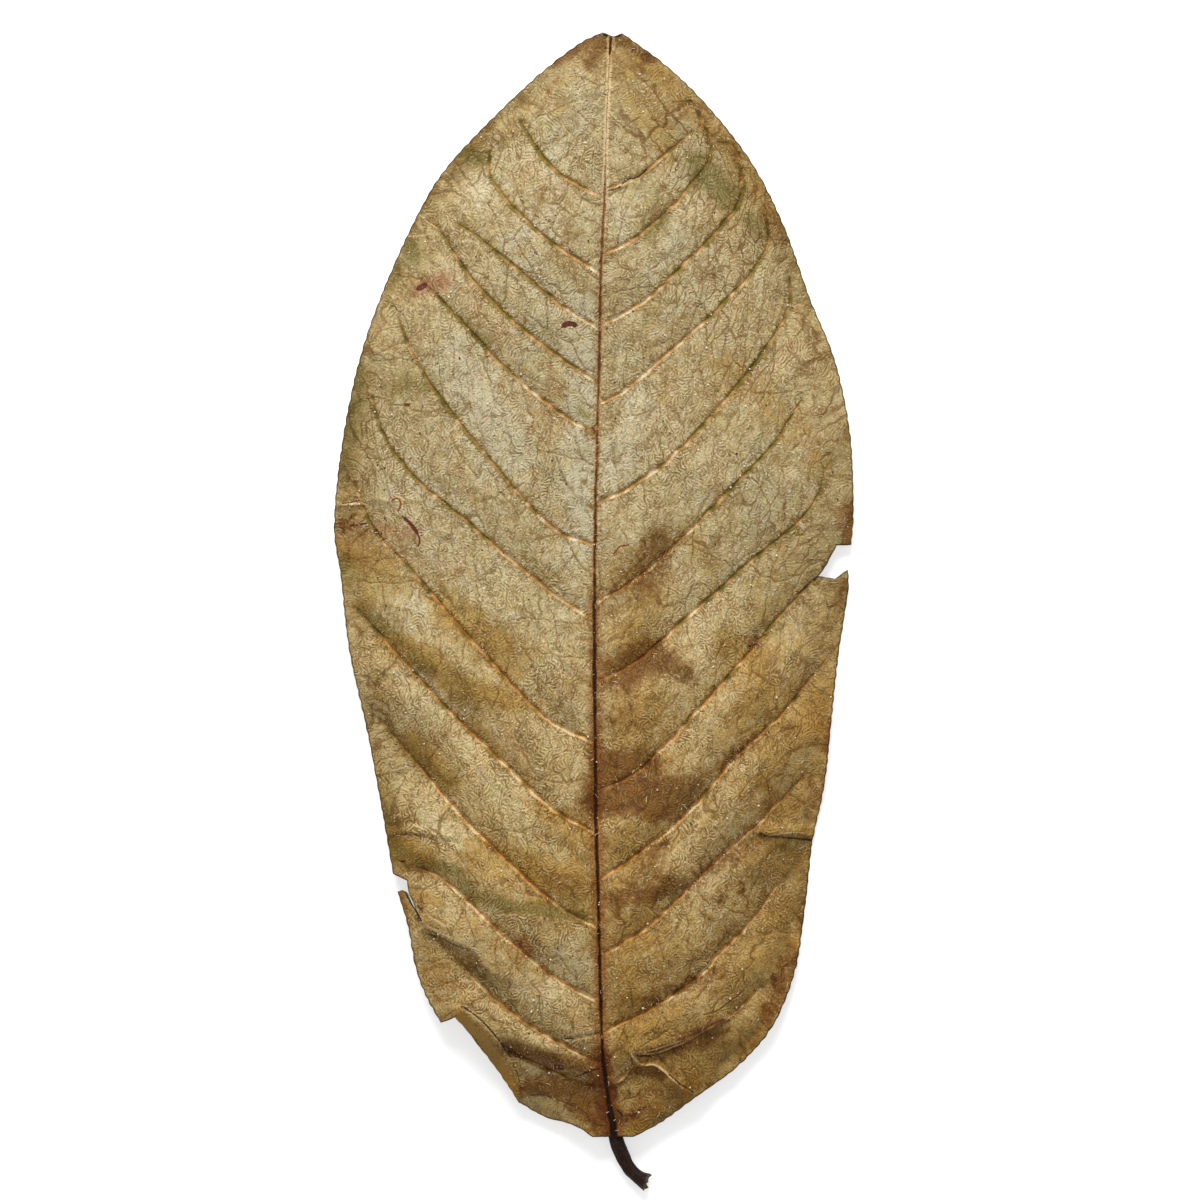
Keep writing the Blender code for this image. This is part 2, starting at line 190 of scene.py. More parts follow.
RIGHT_VEINS = [
    [(-0.2, 5.5), (2.4, 7.4), (4.4, 9.4), (6.95, 10.1), (9.0, 11.2), (12.2, 12.7), (16.3, 16.1)],
    [(-0.7, 11.5), (3.9, 13.9), (8.9, 17.1), (12.2, 20.4), (15.4, 23.6), (18.0, 27.1)],
    [(-0.8, 20.0), (3.9, 22.9), (8.2, 26.9), (12.5, 31.0), (16.1, 34.2), (21.1, 39.2)],
    [(-1.2, 28.0), (3.6, 31.3), (8.6, 35.5), (13.6, 41.3), (18.6, 45.9), (22.0, 50.1)],
    [(-1.4, 37.6), (2.8, 39.6), (7.8, 44.6), (14.1, 51.5), (18.2, 56.3), (22.0, 60.3)],
    [(-1.6, 49.2), (3.2, 51.9), (8.2, 56.3), (14.9, 62.2), (19.9, 66.3), (22.2, 69.2),
     (23.6, 73.0)],
    [(-1.6, 58.0), (2.4, 60.3), (7.0, 64.2), (13.2, 70.5), (17.4, 74.9), (20.7, 79.9)],
    [(-1.4, 68.8), (2.8, 70.9), (7.8, 74.9), (13.2, 80.9), (17.0, 85.9), (19.3, 90.1),
     (19.4, 93.4)],
    [(-1.2, 79.7), (1.6, 81.1), (6.1, 85.0), (10.7, 89.0), (14.9, 93.4), (17.0, 96.9),
     (16.9, 99.9)],
    [(-1.1, 88.0), (3.7, 90.8), (7.8, 94.5), (11.2, 97.9), (13.9, 101.4), (14.2, 104.1),
     (13.2, 107.6), (11.6, 107.9)],
    [(-0.6, 95.9), (3.0, 97.8), (6.6, 100.9), (9.1, 103.9), (10.6, 105.8), (10.8, 108.0),
     (9.8, 110.4), (8.8, 112.4), (7.1, 112.3)],
    [(-0.4, 102.9), (2.8, 104.1), (5.1, 106.0), (8.9, 109.2)],
]
# Minor veins between them.
MINOR_VEINS = [
    [(-1.8, 99.2), (-4.9, 100.4), (-7.4, 101.7)], [(-1.7, 72.9), (-5.2, 74.0), (-7.0, 74.3)],
    [(-0.5, 77.9), (2.0, 78.2), (4.2, 78.8)], [(0.1, 3.3), (3.4, 5.2)],
    [(-8.2, 64.7), (-5.5, 65.6), (-3.4, 66.2)], [(-12.9, 55.9), (-8.0, 56.2), (-3.2, 55.6)],
    [(-20.8, 78.0), (-17.6, 78.3), (-15.4, 78.6)], [(-14.9, 68.6), (-11.7, 69.9), (-9.5, 70.9)],
    [(-23.4, 93.7), (-20.6, 93.0)], [(-27.8, 84.9), (-24.0, 84.2), (-21.0, 84.4)],
    [(-26.5, 80.4), (-22.8, 79.4), (-16.9, 78.3)], [(-26.8, 73.6), (-22.9, 74.0)],
    [(-29.4, 62.4), (-26.6, 62.6), (-22.8, 62.8)], [(-27.6, 60.1), (-24.0, 60.3), (-20.5, 60.2)],
    [(-3.9, 115.2), (-1.4, 114.2)], [(-3.5, 111.2), (-1.2, 109.6)],
    [(0.4, 114.9), (1.5, 115.6)], [(-0.1, 113.2), (0.8, 114.1)], [(2.9, 114.2), (4.4, 115.2)],
    [(16.9, 97.1), (18.8, 97.3), (20.2, 96.2)], [(5.1, 106.0), (6.9, 107.4), (8.0, 108.4)],
    [(1.3, 109.5), (3.0, 110.6)], [(9.1, 110.2), (9.7, 109.9), (10.6, 108.4)],
    [(13.0, 108.2), (14.3, 105.9), (14.6, 102.5)], [(16.3, 101.9), (17.1, 98.9), (16.9, 96.9)],
    [(0.2, 91.6), (4.5, 92.2), (7.2, 92.4)], [(9.2, 97.6), (9.6, 94.6), (12.0, 92.9)],
    [(12.9, 81.0), (16.4, 80.6), (19.6, 80.9)], [(7.4, 64.6), (11.0, 63.0), (14.1, 61.7)],
    [(15.0, 62.2), (17.6, 60.4), (20.6, 60.9)],
    [(-11.0, 40.1), (-7.8, 38.6), (-3.2, 38.9)], [(-14.9, 34.0), (-11.4, 33.2), (-6.6, 33.6)],
    [(8.2, 26.9), (11.4, 25.4), (15.4, 23.7)], [(-11.2, 53.6), (-7.0, 52.3), (-3.0, 51.9)],
]


def between(before, start, end, after, t):
    """The place at t, from 0 to 1, on a smooth curve from start to end."""
    return 0.5 * (2 * start + (end - before) * t
                  + (2 * before - 5 * start + 4 * end - after) * t ** 2
                  + (3 * start - before - 3 * end + after) * t ** 3)


def smooth_curve(points, step):
    """Points about a step apart on a smooth curve through the given points."""
    if len(points) == 2:
        points = [points[0], tuple((a + b) / 2 for a, b in zip(*points)), points[1]]
    route = np.array(points, float)
    route = np.vstack([2 * route[0] - route[1], route, 2 * route[-1] - route[-2]])
    line = []
    for before, start, end, after in zip(route, route[1:], route[2:], route[3:]):
        count = max(1, round(np.hypot(*(end - start)) / step))
        line += [between(before, start, end, after, t) for t in np.arange(count) / count]
    return np.array(line + [route[-2]])


def eased(table, at):
    """Values of a table of (place, value) at many places, eased from one entry to the next."""
    places, values = np.array(table, float).T
    i = np.clip(np.searchsorted(places, at) - 1, 0, len(places) - 2)
    t = np.clip((at - places[i]) / (places[i + 1] - places[i]), 0, 1)
    return values[i] + (values[i + 1] - values[i]) * t * t * (3 - 2 * t)


def bump(distance, width):
    """1 on a line, falling smoothly to 0 at a width from it."""
    t = np.clip(1 - np.abs(distance) / width, 0, 1)
    return t * t * (3 - 2 * t)


def rough(places, size, seed):
    """Smooth noise over the plan, from -1 to 1, with features of about a size."""
    return np.array([noise.noise((x / size, y / size, seed)) for x, y in places])


def from_line(places, line):
    """Signed distance of places from a line, positive on its left, and the run along it."""
    best = np.full(len(places), np.inf)
    side = np.ones(len(places))
    run = np.zeros(len(places))
    start = 0.0
    for a, b in zip(line, line[1:]):
        length = np.hypot(*(b - a))
        along = (b - a) / length
        off = places - a
        t = np.clip(off @ along, 0, length)
        distance = np.hypot(*(off - t[:, None] * along).T)
        nearer = distance < best
        best[nearer] = distance[nearer]
        side[nearer] = np.where(along[0] * off[:, 1] > along[1] * off[:, 0], 1, -1)[nearer]
        run[nearer] = start + t[nearer]
        start += length
    return best * side, run


def grown(points, step, sway):
    """A smooth curve that sways a little from side to side, as veins do."""
    line = smooth_curve(points, step)
    count = len(line)
    to_end = np.minimum(np.arange(count), count - 1 - np.arange(count)) * step
    amount = (sway * np.clip(to_end / CORNER_FADE, 0, 1))[:, None]
    return line + amount * np.column_stack([rough(line, SWAY_SIZE, seed=6.1),
                                            rough(line, SWAY_SIZE, seed=8.3)])


def toothed_outline():
    """The leaf's outline with the small teeth of a whole margin and the fray of a torn one."""
    outline = []
    for number, stretch in enumerate(MARGIN):
        line = smooth_curve(stretch, EDGE_STEP)
        along = np.gradient(line, axis=0)
        outward = np.stack([along[:, 1], -along[:, 0]], 1) / np.hypot(*along.T)[:, None]
        run = np.concatenate([[0], np.cumsum(np.hypot(*np.diff(line, axis=0).T))])
        to_corner = np.clip(np.minimum(run, run[-1] - run) / CORNER_FADE, 0, 1)
        shift = FRAY_DEPTH * rough(line, FRAY_SIZE, seed=3.1)
        if number in TOOTHED:
            drift, drift_size = CRENATE_DRIFT
            phase = run / CRENATE_PITCH + drift * rough(line, drift_size, seed=5.2)
            tooth = np.abs(np.sin(np.pi * phase)) - CRENATE_MEAN
            shift = shift / 2 + CRENATE_DEPTH * tooth
        if number == SLIT:
            shift = -np.abs(shift) * SLIT_FRAY
        outline.append((line + outward * (shift * to_corner)[:, None])[:-1])
    return np.vstack(outline)


midrib = grown(MIDRIB_LINE, VEIN_STEP, MIDRIB_SWAY)
left_veins = [grown(vein, VEIN_STEP, VEIN_SWAY) for vein in LEFT_VEINS]
right_veins = [grown(vein, VEIN_STEP, VEIN_SWAY) for vein in RIGHT_VEINS]
minor_veins = [grown(vein, VEIN_STEP, MINOR_SWAY) for vein in MINOR_VEINS]
outline = toothed_outline()
lowest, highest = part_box("guava_leaf")
FOOT = (lowest.x + LEFT_REACH * MM, highest.y - BLADE_LENGTH * MM)


def world(places, heights):
    """Plan places and heights in millimetres, as points of the frame in metres."""
    return np.column_stack([FOOT[0] + places[:, 0] * MM, FOOT[1] + places[:, 1] * MM,
                            heights * MM])


# Creases left by drying and damage: a line, the height of its crest, and the distances over
# which the crest dies away on the line's left and right. A short one is a step or a torn lip.
CREASES = [
    ([(2.2, 9.4), (3.9, 9.45), (5.1, 9.75), (6.2, 10.1), (7.6, 10.6), (9.1, 11.25), (10.6, 12.1),
      (12.0, 12.6)], 0.62, 1.8, 0.52),  # pleat at the right of the foot, upper lip
    ([(2.2, 9.1), (2.6, 8.6), (3.0, 8.1), (3.8, 7.9), (4.4, 8.0), (5.1, 7.75), (5.9, 7.1),
      (6.5, 6.5), (7.3, 5.9), (7.9, 5.4), (8.9, 4.85)],
     0.62, 0.22, 1.4),  # its torn lower lip
    ([(2.2, 8.9), (2.25, 7.8), (1.95, 7.0), (1.3, 6.3), (0.7, 5.9), (0.1, 5.6)],
     0.34, 0.3, 1.1),  # fold from there to the midrib
    ([(16.4, 32.95), (18.4, 32.85), (19.7, 32.9), (20.9, 32.8), (21.95, 32.6)],
     0.45, 1.6, 0.5),  # upper lip of the right slit
    ([(-20.5, 23.9), (-20.3, 22.6), (-18.6, 22.1), (-16.8, 21.3), (-15.2, 20.7), (-13.6, 18.6),
      (-11.5, 17.3)], 0.32, 2.6, 0.4),  # edge of the blade beside the torn flap
    ([(-11.6, 9.4), (-9.0, 8.3), (-5.6, 7.0)], -0.35, 1.3, 0.4),  # hollow from it to the midrib
    ([(-16.3, 14.1), (-15.0, 13.4), (-13.5, 12.1), (-12.2, 10.5), (-11.5, 9.4), (-10.8, 8.0),
      (-10.2, 6.4), (-9.9, 4.4)], 0.60, 0.20, 1.9),  # inner edge of the rolled-over margin
    ([(-24.7, 32.4), (-23.0, 33.1), (-21.0, 33.0), (-17.5, 32.6)],
     0.25, 1.2, 0.4),  # wrinkle in from the left margin
    ([(-29.9, 68.6), (-27.3, 68.8), (-25.6, 69.3), (-23.9, 68.9), (-23.1, 69.0), (-22.8, 67.6)],
     0.14, 0.25, 0.6),  # crack in from the left margin
    ([(-5.0, 10.8), (-3.2, 11.0), (-1.2, 11.3)], -0.14, 0.4, 0.25),  # crack beside the midrib
    ([(-20.9, 100.2), (-18.9, 98.7)], 0.10, 0.25, 0.4),  # cracks in from the margin near the tip
    ([(-22.1, 97.8), (-19.5, 98.0)], 0.08, 0.3, 0.3),
]


VEIN_SHIFT = 37.0  # added to the run along each next vein, so that no two have the same pattern


def leaf_survey(places):
    """What lies near each place on the blade: the midrib, a side vein, a minor vein and the panel.

    out is the distance right of the midrib and rib the distance from it. vein is the distance
    from the nearest side vein, run and part are how far out along it that is, and minor is the
    distance from a minor vein. share is the place across the tissue between two side veins, from
    0 to 1. panel counts the same way over the whole blade, and along runs along the veins.
    """
    x, y = places.T
    out = x - np.interp(y, midrib[:, 1], midrib[:, 0])
    found = {"out": out, "rib": np.abs(from_line(places, midrib)[0])}
    for name in ("vein", "run", "part", "panel", "along", "share"):
        found[name] = np.zeros(len(places))
    for side, veins in ((-1, left_veins), (1, right_veins)):
        here = out * side > 0
        offs = []
        runs = []
        for vein in veins:
            off, run = from_line(places[here], vein)
            offs.append(off * side)
            runs.append(run)
        offs = np.array(offs)
        runs = np.array(runs)
        near = np.abs(offs).argmin(0)
        pick = (near, np.arange(here.sum()))
        found["vein"][here] = np.abs(offs)[pick]
        found["run"][here] = runs[pick] + VEIN_SHIFT * near
        lengths = np.array([np.hypot(*np.diff(vein, axis=0).T).sum() for vein in veins])
        found["part"][here] = runs[pick] / lengths[near]
        count = len(veins)
        below = np.where(offs > 0, np.arange(count)[:, None], -1).max(0)
        low = np.clip(below, 0, count - 1)
        high = np.clip(below + 1, 0, count - 1)
        columns = np.arange(here.sum())
        to_low = np.where(below < 0, PANEL, np.abs(offs[low, columns]))
        to_high = np.where(below > count - 2, PANEL, np.abs(offs[high, columns]))
        share = to_low / (to_low + to_high)
        found["share"][here] = share
        found["panel"][here] = (below + share) * PANEL
        found["along"][here] = (runs[low, columns] * (1 - share) + runs[high, columns] * share)
    found["minor"] = np.min([np.abs(from_line(places, vein)[0]) for vein in minor_veins], 0)
    return found


def leaf_heights(places, found):
    """Heights of the upper and the lower skin at each place, in millimetres."""
    x, y = places.T
    out = found["out"]
    share = np.minimum(np.abs(out) / eased(BLADE_REACH, y), 1)
    middle = eased(MIDRIB_HEIGHT, y)
    side = np.where(out < 0, eased(LEFT_HEIGHT, y), eased(RIGHT_HEIGHT, y))
    height = middle + (side - middle) * share ** DROOP
    height += 4 * share * (1 - share) * ARCH * eased(ARCH_SHARE, y)
    bulge = np.sin(np.pi * found["share"]) ** PUCKER_ROUNDNESS
    dying, left_over = PUCKER_END
    fade = np.minimum(share / PUCKER_START, 1) * np.minimum((1 - share) / dying + left_over, 1)
    height += eased(PUCKER, y) * fade * (bulge - PUCKER_MEAN)
    waves = eased(WAVES, y) * rough(places, WAVES_SIZE, seed=1.3)
    height += waves * np.minimum(share / WAVES_START, 1)
    for line, crest, left, right in CREASES:
        off = from_line(places, smooth_curve(line, LINE_STEP))[0]
        height += crest * np.where(off > 0, bump(off, left), bump(off, right))
    across = np.minimum(found["rib"] / eased(KEEL_HALF_WIDTH, y), 1)
    keel = eased(KEEL_DEPTH, y) * np.minimum((1 - across) / (1 - KEEL_FLAT), 1)
    height = np.maximum(height, THICKNESS / 2 + keel)
    veins = bump(found["vein"], VEIN_HALF_WIDTH) * np.minimum(np.abs(out) / VEIN_START, 1)
    veins *= np.clip(1.15 - found["part"], 0.25, 1)  # shallower towards the vein's end
    fine = sum(tall * rough(places, across, seed) for tall, across, seed in (CRINKLE, GRAIN))
    fine += eased(CRUMPLE, y) * rough(places, CRUMPLE_SIZE, seed=3.3)
    upper = height + THICKNESS / 2 + fine
    upper -= eased(SEAM_DEPTH, y) * bump(found["rib"], SEAM_HALF_WIDTH)
    swell, away, half_width = SHOULDER
    upper += swell * bump(found["rib"] - away, half_width)
    swell, away, half_width = VEIN_LIP
    upper += swell * bump(found["vein"] - away, half_width) - VEIN_DEPTH * veins
    upper -= MINOR_DEPTH * bump(found["minor"], MINOR_HALF_WIDTH)
    lower = height - THICKNESS / 2 - keel - VEIN_BELOW * veins + fine
    lower = np.maximum(lower, 0)
    return np.maximum(upper, lower + LEAST_THICKNESS), lower


def beside(line, offsets):
    """Copies of a line moved sideways by each offset."""
    along = np.gradient(line, axis=0)
    left = np.stack([-along[:, 1], along[:, 0]], 1) / np.hypot(*along.T)[:, None]
    return [line + left * offset for offset in offsets]


ROW_SHARE = 0.866  # rows this share of a step apart make even triangles


def even_spread(step):
    """Places in even rows over the whole plan, each row shifted by half a step."""
    xs = np.arange(-31, 28, step)
    ys = np.arange(-1, 121, step * ROW_SHARE)
    return np.concatenate([np.column_stack([xs + step * (i % 2) / 2, np.full(len(xs), y)])
                           for i, y in enumerate(ys)])


def kept_apart(groups):
    """Places of several groups, in order, leaving out any nearer than its group's gap."""
    cell = max(gap for places, gap in groups)
    taken = {}
    kept = []
    for places, gap in groups:
        for x, y in places:
            column, row = int(x // cell), int(y // cell)
            free = all((x - a) ** 2 + (y - b) ** 2 > gap * gap
                       for i in (-1, 0, 1) for j in (-1, 0, 1)
                       for a, b in taken.get((column + i, row + j), ()))
            if free:
                taken.setdefault((column, row), []).append((x, y))
                kept.append((x, y))
    return np.array(kept)


def filled_sheet(rows, step, row_gap, fill_gap):
    """Places and triangles that fill the outline. The outline's own places come first."""
    inner = kept_apart([(outline, 0.0), (np.vstack(rows), row_gap), (even_spread(step), fill_gap)])
    border = list(range(len(outline)))
    filled = delaunay_2d_cdt([Vector(place) for place in inner], [], [border], 1, 1e-6)
    places = np.array([tuple(place) for place in filled[0]])
    faces = np.array(filled[2])
    used = np.unique(faces)
    number = np.full(len(places), -1)
    number[used] = np.arange(len(used))
    return places[used], number[faces]


# Marks, each a line and its half width: black cracks and slits, with black lines of painted shadow
# in the slits, under lifted lips and along the rolled-over margin; pale torn edges and ridge
# crests, partly painted highlight; umber lines, most of them painted shade under the lips and
# folds; crimson stains and rusty scars.
STROKES = {
    "black": [
        ([(-0.4, 102.7), (0.8, 103.0), (1.7, 103.9), (2.8, 104.1), (3.9, 105.0)], 0.06),
        ([(16.1, 33.0), (16.5, 32.8), (16.9, 32.6)], 0.06), ([(20.6, 32.1), (21.9, 32.1)], 0.02),
        ([(22.5, 60.8), (21.6, 60.1), (20.3, 58.9)], 0.06),
        ([(-22.4, 26.7), (-21.8, 25.6), (-21.1, 24.5), (-20.5, 23.5)], 0.08),
        ([(6.3, 6.85), (7.0, 6.25), (7.6, 5.75), (8.9, 4.9)], 0.07),
        ([(-16.2, 14.3), (-15.0, 13.6), (-13.4, 12.2), (-12.0, 10.5), (-11.4, 9.5)], 0.07),
        ([(-11.3, 9.5), (-10.6, 8.0), (-10.0, 6.4), (-9.8, 5.2)], 0.03),
        ([(-3.9, 6.6), (-2.9, 6.95), (-2.2, 7.35), (-1.2, 7.5)], 0.06),
        ([(1.8, 5.1), (2.1, 4.6)], 0.05), ([(2.8, 9.0), (3.6, 8.9), (4.6, 8.95)], 0.07),
        ([(2.1, 9.4), (2.05, 9.0)], 0.02), ([(15.0, 53.2), (15.1, 53.25)], 0.12),
        ([(-0.8, 119.75), (-0.4, 119.6)], 0.12), ([(0.45, 119.55), (1.0, 119.65)], 0.1),
        ([(-0.1, 119.3), (-0.15, 118.3), (-0.2, 117.6)], 0.05),
        ([(-22.8, 29.8), (-22.4, 29.9)], 0.08),
        ([(-24.1, 90.0), (-23.6, 90.3), (-23.3, 89.8)], 0.05),
        ([(-29.2, 68.7), (-28.0, 68.9), (-27.4, 69.1)], 0.05),
        ([(0.7, 2.9), (1.0, 2.6), (1.2, 2.3)], 0.1), ([(-5.0, 10.8), (-4.0, 10.9)], 0.06),
        ([(-2.6, 11.2), (-1.3, 11.4)], 0.06),
    ],
    "pale": [
        ([(2.3, 9.4), (3.9, 9.48), (5.1, 9.78), (6.2, 10.15), (7.6, 10.64)], 0.05),
        ([(2.9, 9.15), (4.4, 9.14), (5.6, 9.44), (6.6, 9.84), (7.8, 10.3)], 0.05),
        ([(8.0, 10.55), (9.1, 11.05), (10.0, 11.6)], 0.0), ([(2.2, 9.2), (2.35, 9.0)], 0.1),
        ([(2.35, 9.0), (2.6, 8.65), (3.0, 8.15)], 0.14), ([(3.1, 8.1), (3.8, 7.95)], 0.05),
        ([(3.9, 7.98), (4.4, 8.05), (5.1, 7.8)], 0.06), ([(5.2, 7.72), (5.9, 7.15)], 0.11),
        ([(5.9, 7.15), (6.5, 6.55), (7.2, 6.0)], 0.09), ([(7.3, 5.8), (7.7, 5.4)], 0.05),
        ([(17.0, 32.7), (18.4, 32.9), (19.7, 33.0), (20.9, 32.9), (21.8, 32.7)], 0.03),
        ([(-29.3, 68.6), (-27.3, 68.75), (-26.6, 68.6)], 0.09),
        ([(-20.85, 100.2), (-19.9, 99.3), (-18.9, 98.7)], 0.06),
        ([(-22.1, 97.8), (-19.5, 98.0)], 0.06),
        ([(-20.7, 22.6), (-20.1, 22.9), (-18.5, 22.3), (-17.2, 21.7), (-15.6, 21.0),
          (-14.6, 20.5)], 0.12),
        ([(-20.5, 23.7), (-20.1, 24.3), (-19.0, 23.6), (-17.6, 22.9)], 0.05),
        ([(-17.0, 22.2), (-15.9, 21.65), (-15.2, 22.7)], 0.05),
        ([(-22.0, 26.5), (-21.4, 25.0), (-20.4, 23.6)], 0.07),
    ],
    "umber": [
        ([(3.0, 9.32), (4.4, 9.36), (6.2, 9.95), (7.6, 10.45)], 0.02),
        ([(7.6, 10.7), (9.1, 11.4), (10.6, 12.25), (12.0, 12.75)], 0.03),
        ([(5.2, 9.1), (6.6, 9.6), (8.0, 10.15), (9.6, 11.1), (11.6, 12.2)], 0.04),
        ([(0.1, 5.5), (1.35, 6.2), (2.0, 6.95), (2.3, 7.8), (2.25, 8.8)], 0.05),
        ([(-11.4, 9.5), (-9.6, 8.7), (-8.2, 8.2), (-6.2, 7.2), (-5.2, 6.8)], 0.05),
        ([(3.3, 7.65), (4.5, 7.75), (5.3, 7.25)], 0.05),
        ([(10.0, 13.45), (11.5, 13.85), (12.6, 14.6), (14.4, 16.0)], 0.04),
        ([(-8.8, 4.5), (-7.3, 4.55), (-5.1, 3.8), (-2.9, 2.8), (-2.3, 1.6)], 0.04),
        ([(-11.4, 9.5), (-10.2, 9.0), (-8.6, 8.4)], 0.06),
        ([(-20.2, 22.1), (-18.6, 21.75), (-16.9, 20.95), (-15.3, 20.35)], 0.05),
        ([(-20.9, 25.1), (-20.5, 24.7)], 0.12),
        ([(14.5, 53.4), (14.6, 54.7), (15.9, 54.8), (16.1, 53.6), (15.0, 53.2)], 0.0),
        ([(18.3, 65.0), (18.4, 65.5), (18.9, 65.5), (18.95, 65.0)], 0.0),
        ([(17.0, 32.45), (18.6, 32.45), (20.4, 32.2)], 0.0),
        ([(-23.6, 32.6), (-21.4, 32.8), (-19.0, 32.2)], 0.02),
        ([(-8.8, 13.1), (-8.4, 13.6)], 0.0),
    ],
    "crimson": [
        ([(-22.9, 67.5), (-22.4, 67.1)], 0.02),
        ([(-22.4, 67.1), (-22.0, 66.75), (-21.5, 66.2)], 0.17),
        ([(-21.5, 66.2), (-21.1, 65.6)], 0.2),
        ([(-21.1, 65.6), (-20.8, 65.0), (-20.75, 64.6), (-20.9, 64.1)], 0.08),
        ([(-28.4, 66.3), (-27.6, 66.4), (-26.6, 66.55)], 0.08),
        ([(-5.1, 88.05), (-4.5, 88.25), (-3.9, 88.1)], 0.28),
        ([(-6.0, 87.3), (-5.1, 88.0)], 0.03), ([(-20.9, 92.1), (-20.3, 92.4)], 0.3),
        ([(2.2, 2.2), (3.0, 2.9), (3.8, 3.3)], 0.08), ([(-6.1, 7.75), (-5.3, 7.6)], 0.28),
        ([(-2.9, 7.1), (-1.6, 7.4)], 0.1),
    ],
    "rust": [
        ([(-23.8, 69.0), (-23.2, 69.3), (-22.8, 68.7), (-23.1, 67.9)], 0.08),
        ([(-22.3, 79.4), (-21.9, 79.4)], 0.16), ([(0.3, 63.2), (0.9, 64.0), (1.9, 64.2)], 0.07),
        ([(-2.0, 77.0), (-1.7, 76.5)], 0.1),
    ],
}

# Rows of mesh points follow each feature, these distances to its left and right.
upper_rows = beside(midrib, (0, -0.13, 0.13, -0.28, 0.28, -0.5, 0.5, -0.9, 0.9))
lower_rows = beside(midrib, (0, -0.4, 0.4, -0.8, 0.8))
for vein in left_veins + right_veins:
    upper_rows += beside(vein, (0, -0.13, 0.13, -0.28, 0.28, -0.55, 0.55))
    lower_rows += beside(vein, (0, -0.4, 0.4))
upper_rows += minor_veins
for crease in CREASES:
    upper_rows += beside(smooth_curve(crease[0], CREASE_STEP), (0, -0.18, 0.18, -0.36, 0.36))
upper_rows += beside(outline, (0.16,))
for line, half_width in sum(STROKES.values(), []):
    upper_rows += beside(smooth_curve(line, MARK_STEP), (0, -0.12, 0.12, -0.25, 0.25))
upper_places, upper_faces = filled_sheet(upper_rows, *UPPER_STEPS)
lower_places, lower_faces = filled_sheet(lower_rows, *LOWER_STEPS)
